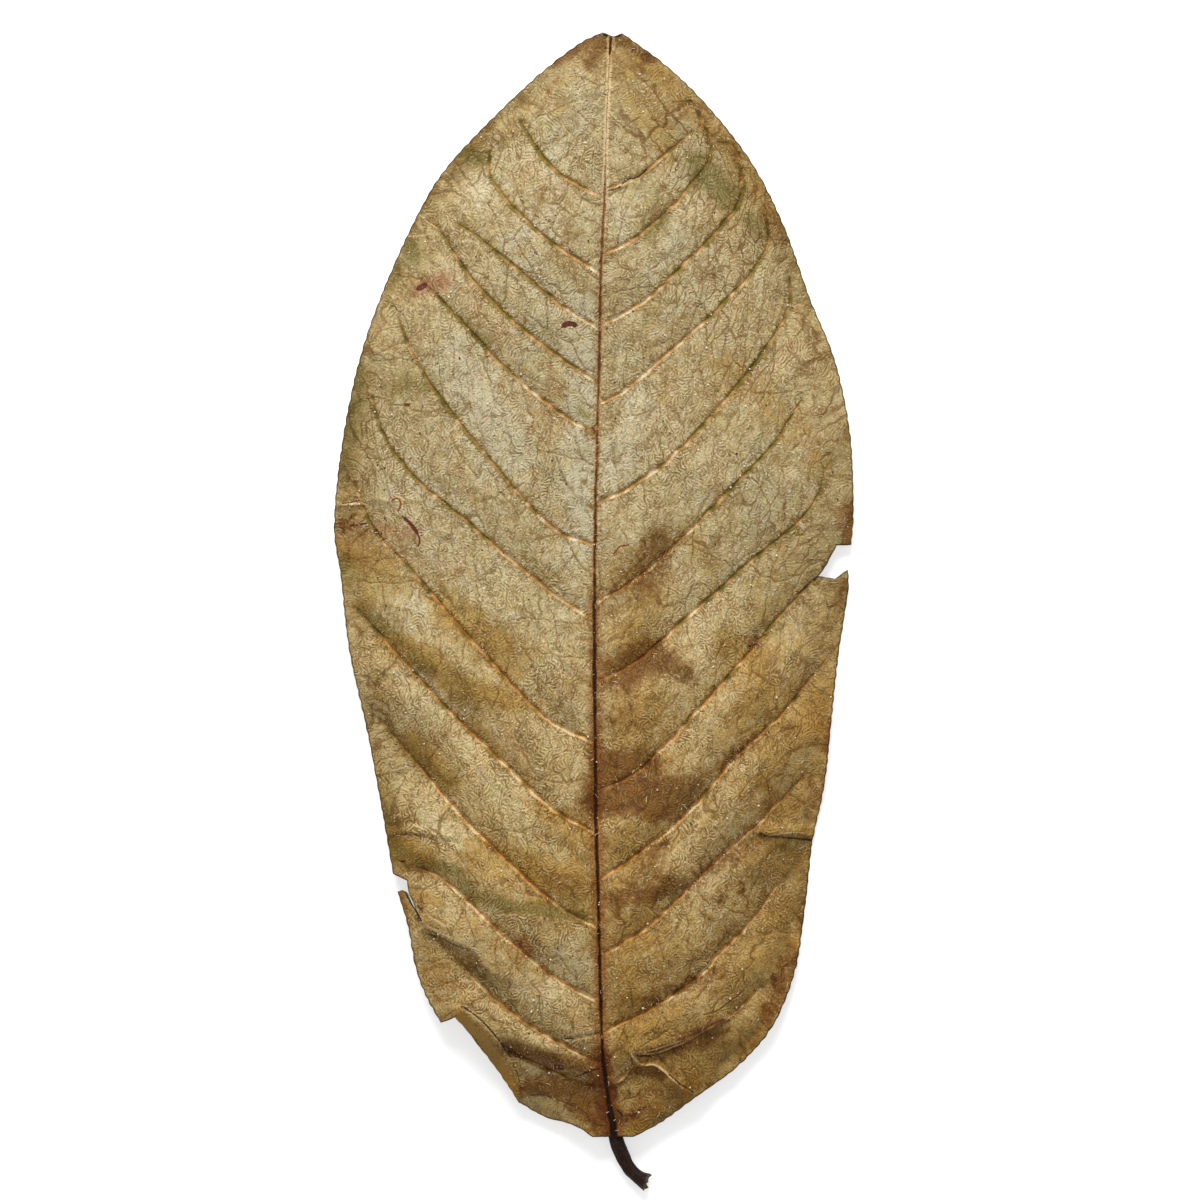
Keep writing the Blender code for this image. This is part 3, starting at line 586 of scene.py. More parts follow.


# Stains with soft edges, each a line, the distance it spreads to, and its strength. A strength over
# 1 gives a wide full middle. Some are painted light and shade: pale smears on lit folds, and olive
# and brown smears under lips and on the shaded sides of folds.
SMEARS = {
    "aged": [
        ([(2.5, 0.0), (2.5, 40.0), (3.0, 60.0)], 5.5, 0.65),
        ([(9.0, 8.0), (17.0, 22.0), (20.0, 44.0)], 7.5, 0.6),
        ([(-15.0, 6.0), (-3.0, 3.0)], 4.5, 0.4),
        ([(-24.5, 54.0), (-19.5, 52.0), (-16.5, 49.0), (-10.0, 47.0)], 1.3, 0.8),
        ([(-21.5, 43.0), (-17.5, 38.5)], 1.6, 0.9), ([(-24.0, 32.0), (-20.0, 29.8)], 1.5, 0.9),
        ([(-14.5, 44.0), (-9.0, 39.0)], 1.2, 0.5), ([(-26.5, 38.0), (-22.5, 31.0)], 1.5, 0.5),
        ([(-12.5, 47.5), (-8.0, 53.0)], 1.8, 0.4), ([(-8.0, 36.0), (-3.0, 33.5)], 1.3, 0.6),
        ([(-14.0, 31.0), (-5.0, 28.0)], 2.4, 0.8), ([(-18.0, 57.5), (-12.0, 53.0)], 2.4, 0.9),
        ([(-28.0, 64.0), (-23.0, 60.0)], 2.2, 0.6), ([(12.0, 84.0), (23.0, 74.0)], 3.5, 0.5),
        ([(8.0, 8.0), (13.0, 11.0)], 2.5, 0.6), ([(-6.0, 113.0), (-4.0, 110.0)], 2.5, 0.4),
        ([(12.5, 54.0), (16.0, 51.5)], 1.3, 0.7), ([(8.0, 66.0), (11.0, 62.0)], 1.4, 0.5),
        ([(-3.0, 22.0), (-4.0, 34.0)], 3.0, 0.35), ([(1.5, 116.5), (6.0, 108.0)], 3.0, 0.6),
        ([(-20.0, 18.0), (-10.0, 22.0)], 5.0, 0.4), ([(-28.5, 70.0), (-26.5, 60.0)], 3.0, 0.5),
        ([(22.0, 46.0), (25.0, 58.0)], 3.5, 0.4), ([(-27.0, 56.0), (-15.0, 46.0)], 3.0, 0.35),
        ([(14.0, 46.0), (18.0, 64.0)], 5.0, 0.45), ([(-20.0, 31.0), (-8.0, 26.0)], 2.5, 0.2),
    ],
    "brown": [
        ([(-1.0, 37.5), (7.0, 37.2)], 2.5, 1.15), ([(3.0, 27.5), (5.0, 31.0)], 2.0, 0.6),
        ([(1.5, 36.5), (5.5, 36.2)], 1.6, 0.7), ([(11.5, 26.5), (15.5, 28.5)], 1.6, 0.4),
        ([(-4.0, 5.5), (-2.5, 4.5)], 1.2, 0.5), ([(0.0, 41.0), (4.0, 41.0)], 1.8, 0.75),
        ([(1.0, 50.5), (4.0, 52.0)], 2.1, 1.15), ([(7.2, 50.6), (8.6, 49.9)], 1.8, 0.55),
        ([(4.0, 52.5), (7.0, 51.5)], 1.6, 0.5), ([(3.5, 60.0), (5.5, 65.0)], 2.4, 0.72),
        ([(0.0, 57.0), (1.0, 61.0)], 1.8, 0.4), ([(0.0, 45.0), (2.0, 46.5)], 1.4, 0.45),
        ([(15.2, 54.1), (15.6, 53.7)], 1.0, 0.7), ([(8.5, 38.5), (16.5, 43.5)], 1.1, 0.55),
        ([(-11.0, 9.9), (-7.5, 8.9), (-3.0, 7.8)], 1.0, 1.0),
        ([(-9.0, 5.3), (-5.0, 5.6), (-2.0, 5.0)], 0.9, 1.0),
        ([(-4.0, 3.4), (-1.5, 2.0)], 1.1, 1.0), ([(-9.5, 7.0), (-6.0, 6.5)], 1.1, 0.55),
        # The second here is painted shadow under the pleat's torn lower lip.
        ([(-2.2, 7.6), (-1.4, 7.2)], 0.8, 0.9), ([(3.2, 7.3), (5.3, 6.9)], 0.8, 0.9),
        ([(1.0, 2.0), (2.6, 2.6)], 0.9, 0.6), ([(1.5, 4.6), (5.6, 4.9)], 0.7, 0.5),
        ([(-0.2, 0.6), (-1.0, 9.0)], 1.4, 0.8),
        # Painted shade in the hollow under the pleat's upper lip.
        ([(4.6, 9.0), (9.0, 10.0), (12.5, 11.6)], 0.8, 0.7),
        ([(-6.6, 5.2), (-3.4, 4.3)], 0.9, 0.7), ([(-23.1, 26.5), (-22.4, 23.0)], 0.8, 0.9),
        # Painted shadow under the edge of the blade beside the torn flap.
        ([(-19.4, 21.7), (-17.6, 20.8), (-14.4, 19.4)], 0.6, 0.6),
        ([(-1.1, 5.0), (-1.3, 22.0), (-1.6, 36.0)], 1.5, 0.3),
        ([(-1.7, 36.0), (-1.8, 58.0)], 0.9, 0.5), ([(23.9, 45.0), (23.7, 42.5)], 1.3, 0.7),
        ([(22.6, 38.0), (22.2, 36.0)], 0.8, 0.3), ([(26.0, 64.5), (26.1, 68.5)], 1.2, 0.85),
        ([(24.8, 57.5), (25.2, 60.0)], 1.0, 0.6), ([(19.5, 19.0), (17.5, 13.0)], 1.8, 0.5),
        ([(21.2, 27.5), (20.6, 23.0)], 1.2, 0.4), ([(-29.5, 66.5), (-27.0, 64.0)], 2.2, 0.45),
        ([(-15.2, 18.9), (-13.6, 17.4)], 1.0, 0.4),
        # Painted shade on the side of a bulge above a side vein, which faces away from the lamp.
        ([(1.0, 26.0), (8.0, 27.6), (15.5, 32.4)], 1.3, 0.6),
        ([(4.0, 14.8), (12.0, 18.2)], 1.3, 0.55), ([(1.0, 119.2), (4.5, 117.2)], 0.9, 0.7),
        ([(-2.0, 119.6), (-6.0, 116.8)], 0.8, 0.8), ([(-0.9, 119.0), (-2.2, 116.6)], 1.2, 0.75),
        ([(18.9, 97.0), (18.0, 100.0)], 1.0, 0.5),
    ],
    "olive": [
        ([(7.5, 107.5), (9.5, 106.0)], 1.6, 0.45), ([(10.0, 104.5), (12.8, 102.2)], 2.2, 1.0),
        ([(4.0, 98.0), (5.5, 100.0)], 1.5, 0.8), ([(15.3, 99.3), (16.2, 98.0)], 1.3, 0.8),
        ([(2.5, 103.5), (4.5, 103.0)], 2.2, 0.5), ([(-16.5, 107.0), (-14.5, 106.5)], 1.5, 1.0),
        ([(-22.0, 97.0), (-21.6, 95.6)], 1.3, 0.9), ([(-24.0, 92.5), (-23.3, 94.0)], 1.0, 0.7),
        ([(-27.5, 83.5), (-29.0, 72.0)], 1.8, 0.75), ([(-23.0, 81.5), (-20.0, 81.5)], 2.0, 0.7),
        ([(-15.5, 88.5), (-13.5, 86.5)], 1.3, 0.7), ([(17.5, 86.0), (16.5, 84.5)], 1.2, 0.6),
        ([(-29.0, 62.5), (-28.6, 60.5)], 1.2, 0.7), ([(-27.5, 57.5), (-20.0, 51.0)], 1.3, 0.7),
        ([(-23.8, 44.0), (-18.0, 38.0)], 1.2, 0.7),
        ([(-18.0, 35.2), (-8.0, 33.0), (-3.0, 32.0)], 1.3, 0.42),
        # This first one is painted shade on the side of a fold that faces away from the lamp.
        ([(-23.5, 31.2), (-20.4, 29.6), (-17.0, 29.0), (-14.5, 26.2), (-11.5, 25.4),
          (-3.0, 24.0)], 1.1, 0.9), ([(-3.5, 79.0), (-2.0, 77.0)], 1.0, 0.6),
        ([(2.6, 15.6), (4.0, 15.9)], 0.7, 0.5), ([(11.0, 15.9), (12.4, 16.6)], 0.8, 0.5),
        ([(9.5, 10.9), (12.6, 11.6)], 0.6, 0.5), ([(5.0, 8.6), (7.0, 8.9)], 0.5, 0.5),
        ([(1.0, 9.8), (2.0, 12.0)], 0.9, 0.5), ([(-7.3, 12.3), (-5.5, 11.8)], 0.7, 0.5),
        ([(-16.5, 19.5), (-12.5, 16.2), (-9.0, 13.8)], 1.0, 0.6),
        ([(-25.0, 50.0), (-26.5, 46.0)], 1.6, 0.5), ([(-24.5, 38.0), (-24.0, 30.0)], 1.6, 0.6),
        ([(17.5, 31.6), (20.5, 31.2)], 1.2, 0.6), ([(7.8, 72.5), (6.5, 71.0)], 1.5, 0.3),
        ([(7.4, 50.4), (8.2, 49.9)], 1.3, 0.6), ([(20.0, 35.5), (22.0, 38.5)], 1.6, 0.2),
    ],
    "ochre": [
        ([(3.0, 117.5), (10.0, 110.5), (14.5, 105.5), (18.0, 99.0)], 1.7, 0.8),
        ([(-26.3, 91.0), (-29.5, 76.0)], 1.0, 0.6), ([(-22.0, 26.8), (-18.4, 25.5)], 0.6, 0.9),
        ([(-16.0, 23.0), (-12.0, 21.5), (-8.0, 18.0)], 2.5, 0.5),
        ([(-14.5, 11.8), (-11.0, 6.0)], 0.9, 0.9), ([(3.0, 2.0), (9.0, 5.5)], 1.8, 0.7),
        ([(16.0, 10.5), (20.5, 20.5)], 1.6, 0.7), ([(20.5, 20.5), (22.0, 31.0)], 1.0, 0.5),
        ([(1.0, 15.0), (12.0, 24.0)], 5.0, 0.35), ([(5.0, 33.0), (20.0, 38.0)], 4.0, 0.35),
        ([(-20.0, 20.0), (-17.0, 14.0)], 2.2, 0.4), ([(-19.0, 104.0), (-22.0, 98.5)], 0.8, 0.8),
        ([(-13.0, 110.0), (-17.0, 105.5)], 0.8, 0.8),
        ([(-16.3, 12.9), (-13.4, 10.1), (-11.4, 7.0), (-10.4, 4.8)], 1.0, 1.0),
    ],
    "russet": [
        ([(-28.5, 66.5), (-22.0, 65.5)], 1.8, 0.45), ([(-20.6, 92.2), (-18.5, 92.8)], 1.6, 0.7),
        ([(-17.0, 95.5), (-14.5, 97.0)], 1.2, 0.3), ([(24.9, 66.5), (25.2, 68.0)], 1.0, 0.6),
        ([(-1.0, 2.0), (-1.0, 8.5)], 1.2, 0.6), ([(0.8, 1.2), (3.4, 3.8)], 1.0, 0.5),
        ([(7.5, 10.7), (12.0, 12.8)], 0.5, 0.9), ([(4.6, 100.0), (5.2, 100.4)], 0.6, 0.7),
        ([(-6.0, 103.5), (-4.0, 102.5)], 2.0, 0.3), ([(-14.5, 54.0), (-13.5, 54.5)], 1.5, 0.3),
        ([(-10.3, 21.6), (-9.0, 20.6)], 1.2, 0.5),
    ],
    "bleached_and_painted_light": [
        ([(-3.5, 90.0), (-3.2, 80.0), (-3.2, 64.0)], 2.2, 0.9),
        ([(0.5, 72.0), (3.5, 80.0)], 2.8, 0.7), ([(-17.0, 84.0), (-11.0, 74.0)], 4.0, 0.8),
        ([(-15.5, 101.5), (-13.5, 103.5)], 2.5, 0.6),
        ([(-9.0, 92.0), (-6.0, 100.0), (-6.0, 110.0)], 2.2, 0.5),
        # The second here is painted light that lifts the side of a bulge beside the midrib, which
        # faces away from the lamp.
        ([(4.0, 93.0), (8.0, 99.0)], 2.0, 0.5), ([(-3.5, 20.0), (-7.5, 16.5)], 2.9, 1.0),
        ([(1.5, 100.5), (4.0, 103.0)], 1.6, 0.5), ([(8.5, 105.0), (6.5, 103.5)], 1.4, 0.5),
        ([(-23.0, 50.0), (-15.0, 42.5)], 1.8, 0.5), ([(-22.0, 72.0), (-17.0, 68.0)], 2.0, 0.5),
        # Painted light on the lit crest of a fold.
        ([(-20.0, 34.5), (-15.5, 31.8), (-11.0, 29.0)], 1.2, 0.9),
        ([(-25.5, 60.0), (-20.5, 57.5)], 1.8, 0.8), ([(-9.0, 98.5), (-11.0, 96.5)], 1.6, 0.6),
        ([(0.0, 101.0), (1.5, 98.0)], 1.4, 0.5), ([(9.5, 101.9), (9.7, 101.5)], 0.4, 0.9),
        ([(18.0, 47.5), (20.5, 45.5)], 1.4, 0.6), ([(19.3, 38.0), (21.2, 42.0)], 1.8, 1.0),
        ([(-18.0, 24.5), (-12.5, 19.5)], 1.3, 0.5), ([(-22.8, 40.0), (-22.5, 36.5)], 1.4, 0.4),
        ([(-22.5, 44.0), (-19.5, 34.0)], 2.5, 0.35), ([(-21.8, 22.4), (-20.6, 19.6)], 0.9, 0.8),
        # Painted light on a lit strip below a side vein.
        ([(-20.5, 27.2), (-15.0, 23.6), (-9.0, 19.0)], 1.5, 0.35),
        ([(-8.8, 3.6), (-6.0, 3.2), (-3.6, 2.2)], 1.0, 1.3), ([(0.6, 6.6), (1.6, 8.6)], 0.6, 0.7),
        ([(-9.2, 6.9), (-7.0, 6.6)], 0.7, 0.5), ([(1.0, 4.2), (3.4, 5.5)], 0.4, 0.5),
        ([(-4.6, 10.2), (-2.6, 9.2)], 0.9, 0.5), ([(9.0, 14.2), (12.5, 14.6)], 0.7, 0.6),
        ([(-27.2, 50.0), (-25.4, 44.0), (-23.4, 38.5)], 1.2, 0.7),
        ([(-20.2, 18.8), (-19.2, 18.4)], 1.2, 0.4), ([(-6.5, 91.5), (-10.0, 94.0)], 1.2, 0.4),
        ([(-3.5, 116.5), (-3.0, 109.0)], 1.6, 0.4),
    ],
    "rolled": [
        ([(-16.3, 12.9), (-14.1, 11.0), (-12.3, 8.4), (-11.0, 5.6), (-10.3, 4.6)], 0.85, 1.0),
        ([(-23.0, 26.4), (-22.2, 24.2)], 0.7, 0.8), ([(26.1, 64.8), (26.1, 66.6)], 0.6, 0.8),
    ],
    "netted": [
        ([(5.0, 112.0), (12.0, 103.0), (16.0, 97.0)], 4.5, 1.0),
        ([(10.0, 92.0), (15.0, 84.0)], 4.0, 0.8), ([(14.0, 70.0), (20.0, 64.0)], 4.0, 0.7),
        ([(-27.0, 84.0), (-27.5, 72.0)], 2.5, 0.8), ([(-12.0, 110.0), (-19.0, 101.0)], 2.5, 0.6),
        ([(21.5, 88.0), (25.0, 74.0)], 2.0, 0.7), ([(18.0, 40.0), (20.0, 50.0)], 3.0, 0.5),
        ([(-25.0, 48.0), (-24.0, 36.0)], 2.5, 0.5),
    ],
}


def spread_attribute(mesh, name, values):
    """Stores one number, or one vector, on each of a mesh's points."""
    kind = "FLOAT" if values.ndim == 1 else "FLOAT_VECTOR"
    layer = mesh.attributes.new(name, kind, "POINT")
    layer.data.foreach_set("value" if kind == "FLOAT" else "vector",
                           values.astype(np.float32).ravel())


FAR_OFF = 9.0  # further than any mark is looked for
SEAM_WANDER = (0.7, 1.1)  # how uneven the midrib's dark floor is, and over what distance
VEIN_THINNING = 0.13  # what a vein's half width loses over its last third


def leaf_marks(places, found):
    """What the tissue's colour depends on at each place: nearness to veins, margin and marks."""
    x, y = places.T
    rim = kdtree.KDTree(len(outline))
    for i, (a, b) in enumerate(outline):
        rim.insert((a, b, 0), i)
    rim.balance()
    wander, wander_size = SEAM_WANDER
    core = eased(SEAM_CORE, y) * (1 + wander * rough(places, wander_size, seed=4.4))
    marks = {
        "edge": np.array([rim.find((a, b, 0))[2] for a, b in places]),
        "seam": found["rib"] - core,
        "vein": found["vein"] + VEIN_THINNING * np.clip(found["part"] / 0.35 - 1.85, 0, 1),
        "minor": found["minor"],
        "vein_run": np.column_stack([found["run"], found["part"], y]),
        "panel": np.column_stack([found["along"], found["panel"], np.zeros(len(x))]),
    }
    for kind, strokes in STROKES.items():
        nearest = np.full(len(places), FAR_OFF)
        for line, half_width in strokes:
            off = np.abs(from_line(places, smooth_curve(line, LINE_STEP))[0]) - half_width
            nearest = np.minimum(nearest, off)
        marks[kind] = nearest
    for kind, smears in SMEARS.items():
        clear = np.ones(len(places))
        for line, spread, strength in smears:
            off = from_line(places, np.array(line))[0]
            clear *= 1 - strength * np.exp(-(off / spread) ** 2)
        marks[kind] = 1 - clear
    return marks


survey = [leaf_survey(places) for places in (upper_places, lower_places)]
upper_heights = leaf_heights(upper_places, survey[0])[0]
lower_heights = leaf_heights(lower_places, survey[1])[1]
ring = np.arange(len(outline))
rim_places = beside(outline, (-RIM_SWELL,))[0]
rim_heights = (upper_heights[ring] + lower_heights[ring]) / 2
points = np.vstack([world(upper_places, upper_heights), world(lower_places, lower_heights),
                    world(rim_places, rim_heights)])
first_lower = len(upper_places)
first_rim = first_lower + len(lower_places)


def facing(places, faces, up):
    """Triangles of the plan turned so that they all face up, or all down."""
    a, b, c = (places[faces[:, i]] for i in range(3))
    rising = np.cross(b - a, c - a) > 0
    faces = faces.copy()
    turn = rising != up
    faces[turn] = faces[turn][:, ::-1]
    return faces


following = np.roll(ring, -1)
rim_bands = []
for high, low in ((ring, first_rim + ring), (first_rim + ring, first_lower + ring)):
    rim_bands.append(np.column_stack([high, low, low[following]]))
    rim_bands.append(np.column_stack([high, low[following], high[following]]))
faces = np.vstack([facing(upper_places, upper_faces, True),
                   facing(lower_places, lower_faces, False) + first_lower] + rim_bands)
mesh = bpy.data.meshes.new("leaf_blade")
mesh.vertices.add(len(points))
mesh.vertices.foreach_set("co", points.astype(np.float32).ravel())
mesh.loops.add(faces.size)
mesh.loops.foreach_set("vertex_index", faces.astype(np.int32).ravel())
mesh.polygons.add(len(faces))
mesh.polygons.foreach_set("loop_start", np.arange(0, faces.size, 3, dtype=np.int32))
mesh.update(calc_edges=True)
mesh.validate()
is_below = np.zeros(len(faces), np.int32)
is_below[len(upper_faces):len(upper_faces) + len(lower_faces)] = 1
mesh.polygons.foreach_set("material_index", is_below)
mesh.shade_smooth()
marks = [leaf_marks(places, found) for places, found in zip((upper_places, lower_places), survey)]
for name in marks[0]:
    spread_attribute(mesh, name, np.concatenate([marks[0][name], marks[1][name],
                                                 marks[0][name][ring]]))

# A flat map of the blade, its upper side and underside next to each other. The two narrow bands
# of the rim unroll outwards from the upper side.
MAP_SPAN = 124.0  # length of plan across the whole map
MAP_CORNER = (LEFT_REACH + 1.5, 1.0)
BAND_WIDTH = 0.1
first_band, second_band = beside(outline, (-BAND_WIDTH, -2 * BAND_WIDTH))
flat = [(spots + MAP_CORNER) / MAP_SPAN
        for spots in (upper_places, lower_places, first_band, second_band)]
flat[1][:, 0] += 0.5  # the underside fills the right half
corners = np.vstack(flat[:3])[faces]
last_faces = faces[-2 * len(ring):]
low_end = (last_faces >= first_lower) & (last_faces < first_rim)
corners[-2 * len(ring):][low_end] = flat[3][last_faces[low_end] - first_lower]
flat_map = mesh.uv_layers.new(name="OFBake")
flat_map.uv.foreach_set("vector", corners.astype(np.float32).ravel())
blade = bpy.data.objects.new("leaf_blade", mesh)
bpy.context.scene.collection.objects.link(blade)


def linear(colour):
    """A colour written as sRGB hex, in linear light."""
    parts = [int(colour[i:i + 2], 16) / 255 for i in (1, 3, 5)]
    return [c / 12.92 if c <= 0.04045 else ((c + 0.055) / 1.055) ** 2.4 for c in parts] + [1.0]


def add(tree, kind, links=(), out=0, ramp=(), **settings):
    """Adds a node with its settings, sets or links its inputs, and gives one of its outputs."""
    node = tree.nodes.new("ShaderNode" + kind)
    for name, value in settings.items():
        setattr(node, name, value)
    for name, value in dict(links).items():
        if isinstance(value, bpy.types.NodeSocket):
            tree.links.new(value, node.inputs[name])
        else:
            node.inputs[name].default_value = value
    for i, (place, colour) in enumerate(ramp):
        stop = node.color_ramp.elements[i] if i < 2 else node.color_ramp.elements.new(place)
        stop.position = place
        stop.color = linear(colour)
    return node.outputs[out]


# Dry upper skin: a thin waxy cuticle over shrunken tissue. It is matt to satin and khaki brown,
# finely wrinkled like a fingerprint, with brown veinlets and the stains of its decay. Painted
# highlight and painted shade lie on its wrinkles, folds and torn lips.
upper_skin = bpy.data.materials.new("dry_upper_skin")
upper_skin.use_nodes = True
skin = upper_skin.node_tree
place = add(skin, "VectorMath", {0: add(skin, "TexCoord", out="Object"), "Scale": 1 / MM},
            operation="SCALE")
field = {name: add(skin, "Attribute", out="Fac", attribute_name=name)
         for name in ("edge", "seam", "vein", "minor", *STROKES, *SMEARS)}
vein_run = add(skin, "SeparateXYZ", {0: add(skin, "Attribute", out="Vector",
                                            attribute_name="vein_run")}).node
panel = add(skin, "Attribute", out="Vector", attribute_name="panel")

patches = add(skin, "TexNoise", {"Vector": place, "Scale": 1 / 5.0, "Detail": 2.0})
mottle = add(skin, "TexNoise", {"Vector": place, "Scale": 1 / 2.2, "Detail": 5.0,
                                "Roughness": 0.68})
speckle = add(skin, "TexNoise", {"Vector": place, "Scale": 1 / 0.45, "Detail": 3.0,
                                 "Roughness": 0.7})
flecks = add(skin, "TexNoise", {"Vector": place, "Scale": 1 / 0.24, "Detail": 1.0})
# Tints that change the hue but not the brightness, in spots about a millimetre across, and the
# greener and warmer patches of the whole blade.
tinge = add(skin, "TexNoise", {"Vector": place, "Scale": 1 / 1.1, "Detail": 3.0, "Roughness": 0.62},
            out="Color")
tinge = add(skin, "SeparateColor", {0: tinge}).node
cast = add(skin, "TexNoise", {"Vector": place, "Scale": 1 / 6.5, "Detail": 3.0}, out="Color")
cast = add(skin, "SeparateColor", {0: cast}).node
# Wrinkles a third of a millimetre apart, turning this way and that as on a fingertip.
turned = add(skin, "TexNoise", {"Vector": place, "Scale": 1 / 3.2, "Detail": 1.0},
             noise_dimensions="2D")
WRINKLE_TURN = 18.0  # radians that they could turn in all
turned = add(skin, "Math", {0: turned, 1: WRINKLE_TURN}, operation="MULTIPLY")
wrinkle = add(skin, "TexGabor", {"Vector": place, "Scale": 1 / 0.85, "Frequency": 2.5,
                                 "Anisotropy": 1.0, "Orientation": turned})

# Tissue, and the stains over it with broken edges, among them whitened tissue and smears of painted
# light and painted shade.
colour = add(skin, "ValToRGB", {"Fac": mottle},
             ramp=[(0.34, "#8f6e38"), (0.68, "#d0c296"), (0.5, "#bba470")])
uneven = add(skin, "Math", {0: mottle, 1: speckle}, operation="ADD")
uneven = add(skin, "Math", {0: wrinkle, 1: 0.6, 2: uneven}, operation="MULTIPLY_ADD")
uneven = add(skin, "MapRange", {"Value": uneven, "From Min": 0.95, "From Max": 1.65, "To Min": -0.4,
                                "To Max": 0.4})
stains = {}
for name in SMEARS:
    stain = add(skin, "Math", {0: field[name], 1: uneven}, operation="ADD")
    stains[name] = add(skin, "MapRange", {"Value": stain, "From Min": 0.15, "From Max": 0.85},
                       interpolation_type="SMOOTHSTEP")

# Inside the olive and brown stains the hollows of the wrinkles are the darkest: the stains' own
# colour, darkened further by painted shade in the hollows.
stain_and_hollow_shade = [add(skin, "Math", {0: stains[name], 1: wrinkle}, operation="SUBTRACT")
        for name in ("olive", "brown")]

# Veinlets. The larger run across from one side vein to the next, the smaller make a net.
veinlets = []
for across, along, seed in ((3.4, 5.0, 0.0), (1.9, 2.2, 20.0)):
    bent = add(skin, "TexNoise", {"Vector": place, "Scale": 0.7, "Detail": 2.0}, out="Color")
    bent = add(skin, "VectorMath", {0: bent, 1: (1.0, 1.0, 0), 2: panel}, operation="MULTIPLY_ADD")
    bent = add(skin, "VectorMath", {0: bent, 1: (1 / across, 1 / along, 0), 2: (seed, 0, 0)},
               operation="MULTIPLY_ADD")
    veinlets.append(add(skin, "TexVoronoi", {"Vector": bent, "Scale": 1.0},
                        feature="DISTANCE_TO_EDGE", voronoi_dimensions="2D"))
worn = add(skin, "MapRange", {"Value": mottle, "From Min": 0.40, "From Max": 0.60, "To Max": 0.70})
netted = add(skin, "Math", {0: field["netted"], 1: 0.60, 2: 0.30}, operation="MULTIPLY_ADD")
minor_strength = add(skin, "MapRange", {"Value": speckle, "From Min": 0.35, "From Max": 0.60,
                                        "To Min": 0.30, "To Max": 0.85})

# Wrinkles: fine pale crests with dark hollows between, partly the tissue's own tone and partly
# painted highlight on the crests and painted shade in the hollows. They are strong in some patches
# and low down on the leaf, which is the part below mid-length.
hollow_tone_and_shade = add(skin, "MapRange", {"Value": patches, "From Min": 0.35, "From Max": 0.65,
                               "To Min": 0.04, "To Max": 0.36})
crest = add(skin, "MapRange", {"Value": patches, "From Min": 0.35, "From Max": 0.65,
                               "To Min": 0.12, "To Max": 0.60})
low_down = add(skin, "MapRange", {"Value": vein_run.outputs["Z"], "From Min": 65.0,
                                  "From Max": 40.0})
hollow_tone_and_shade = add(skin, "Math", {0: low_down, 1: 0.17, 2: hollow_tone_and_shade}, operation="MULTIPLY_ADD")
crest = add(skin, "Math", {0: low_down, 1: 0.34, 2: crest}, operation="MULTIPLY_ADD")

# Light and dark bands follow the folds between side veins, most of all in the lower half: partly
# stain, and partly painted shade and painted light of the folds.
folds = add(skin, "VectorMath", {0: panel, 1: (1 / 5.5, 1 / 2.4, 0)}, operation="MULTIPLY")
folds = add(skin, "TexNoise", {"Vector": folds, "Scale": 1.0, "Detail": 4.0, "Roughness": 0.62,
                               "Distortion": 0.4})
banded = add(skin, "MapRange", {"Value": vein_run.outputs["Z"], "From Min": 40.0, "From Max": 75.0,
                                "To Min": 0.95, "To Max": 0.38})

# Short ribs stand across the midrib and the side veins like thorns.
thorns = []
for run, spacing in ((vein_run.outputs["X"], 0.75), (vein_run.outputs["Z"], 0.85)):
    rung = add(skin, "Math", {0: mottle, 1: 3.0}, operation="MULTIPLY")
    rung = add(skin, "Math", {0: run, 1: 1 / spacing, 2: rung}, operation="MULTIPLY_ADD")
    rung = add(skin, "Math", {0: rung}, operation="FRACT")
    thorns.append(add(skin, "MapRange", {"Value": rung, "From Min": 0.22, "From Max": 0.08,
                                         "To Max": 0.75}, interpolation_type="SMOOTHSTEP"))

# A vein is orange near the midrib and olive further out, with dark stretches and pale nodes.
near_midrib = add(skin, "MapRange", {"Value": vein_run.outputs["Y"], "From Min": 0.6,
                                     "From Max": 0.1})
vein_tone = add(skin, "Math", {0: near_midrib, 1: low_down}, operation="MAXIMUM")
nodes = add(skin, "TexNoise", {"Vector": place, "Scale": 1 / 1.3, "Detail": 2.0})
vein_tone = add(skin, "Math", {0: vein_tone, 1: 0.19, 2: nodes}, operation="MULTIPLY_ADD")
vein_colour = add(skin, "ValToRGB", {"Fac": vein_tone},
                  ramp=[(0.34, "#65531a"), (0.80, "#f2dfb4"), (0.45, "#847025"), (0.56, "#a88446"),
                        (0.68, "#d3a468")])
stem_edge = add(skin, "MapRange", {"Value": nodes, "From Min": 0.62, "From Max": 0.34,
                                   "To Min": 0.10, "To Max": 0.75})
core_colour = add(skin, "ValToRGB", {"Fac": add(skin, "Math", {0: vein_run.outputs["Z"],
                                                               1: 1 / BLADE_LENGTH},
                                                operation="MULTIPLY")},
                  ramp=[(0.45, "#2a1306"), (0.66, "#5f3d17")])
near_tip = add(skin, "MapRange", {"Value": vein_run.outputs["Z"], "From Min": 97.0,
                                  "From Max": 105.0})
rib_tone = add(skin, "Math", {0: near_tip, 1: 0.18, 2: speckle}, operation="MULTIPLY_ADD")
rib_colour = add(skin, "ValToRGB", {"Fac": rib_tone},
                 ramp=[(0.36, "#8d5c2b"), (0.80, "#f3deb2"), (0.5, "#c4915a"), (0.64, "#e9c794")])
ridge_shown = add(skin, "Math", {0: near_tip, 1: 0.80}, operation="MULTIPLY")
flush = add(skin, "Math", {0: low_down, 1: 0.50}, operation="MULTIPLY")

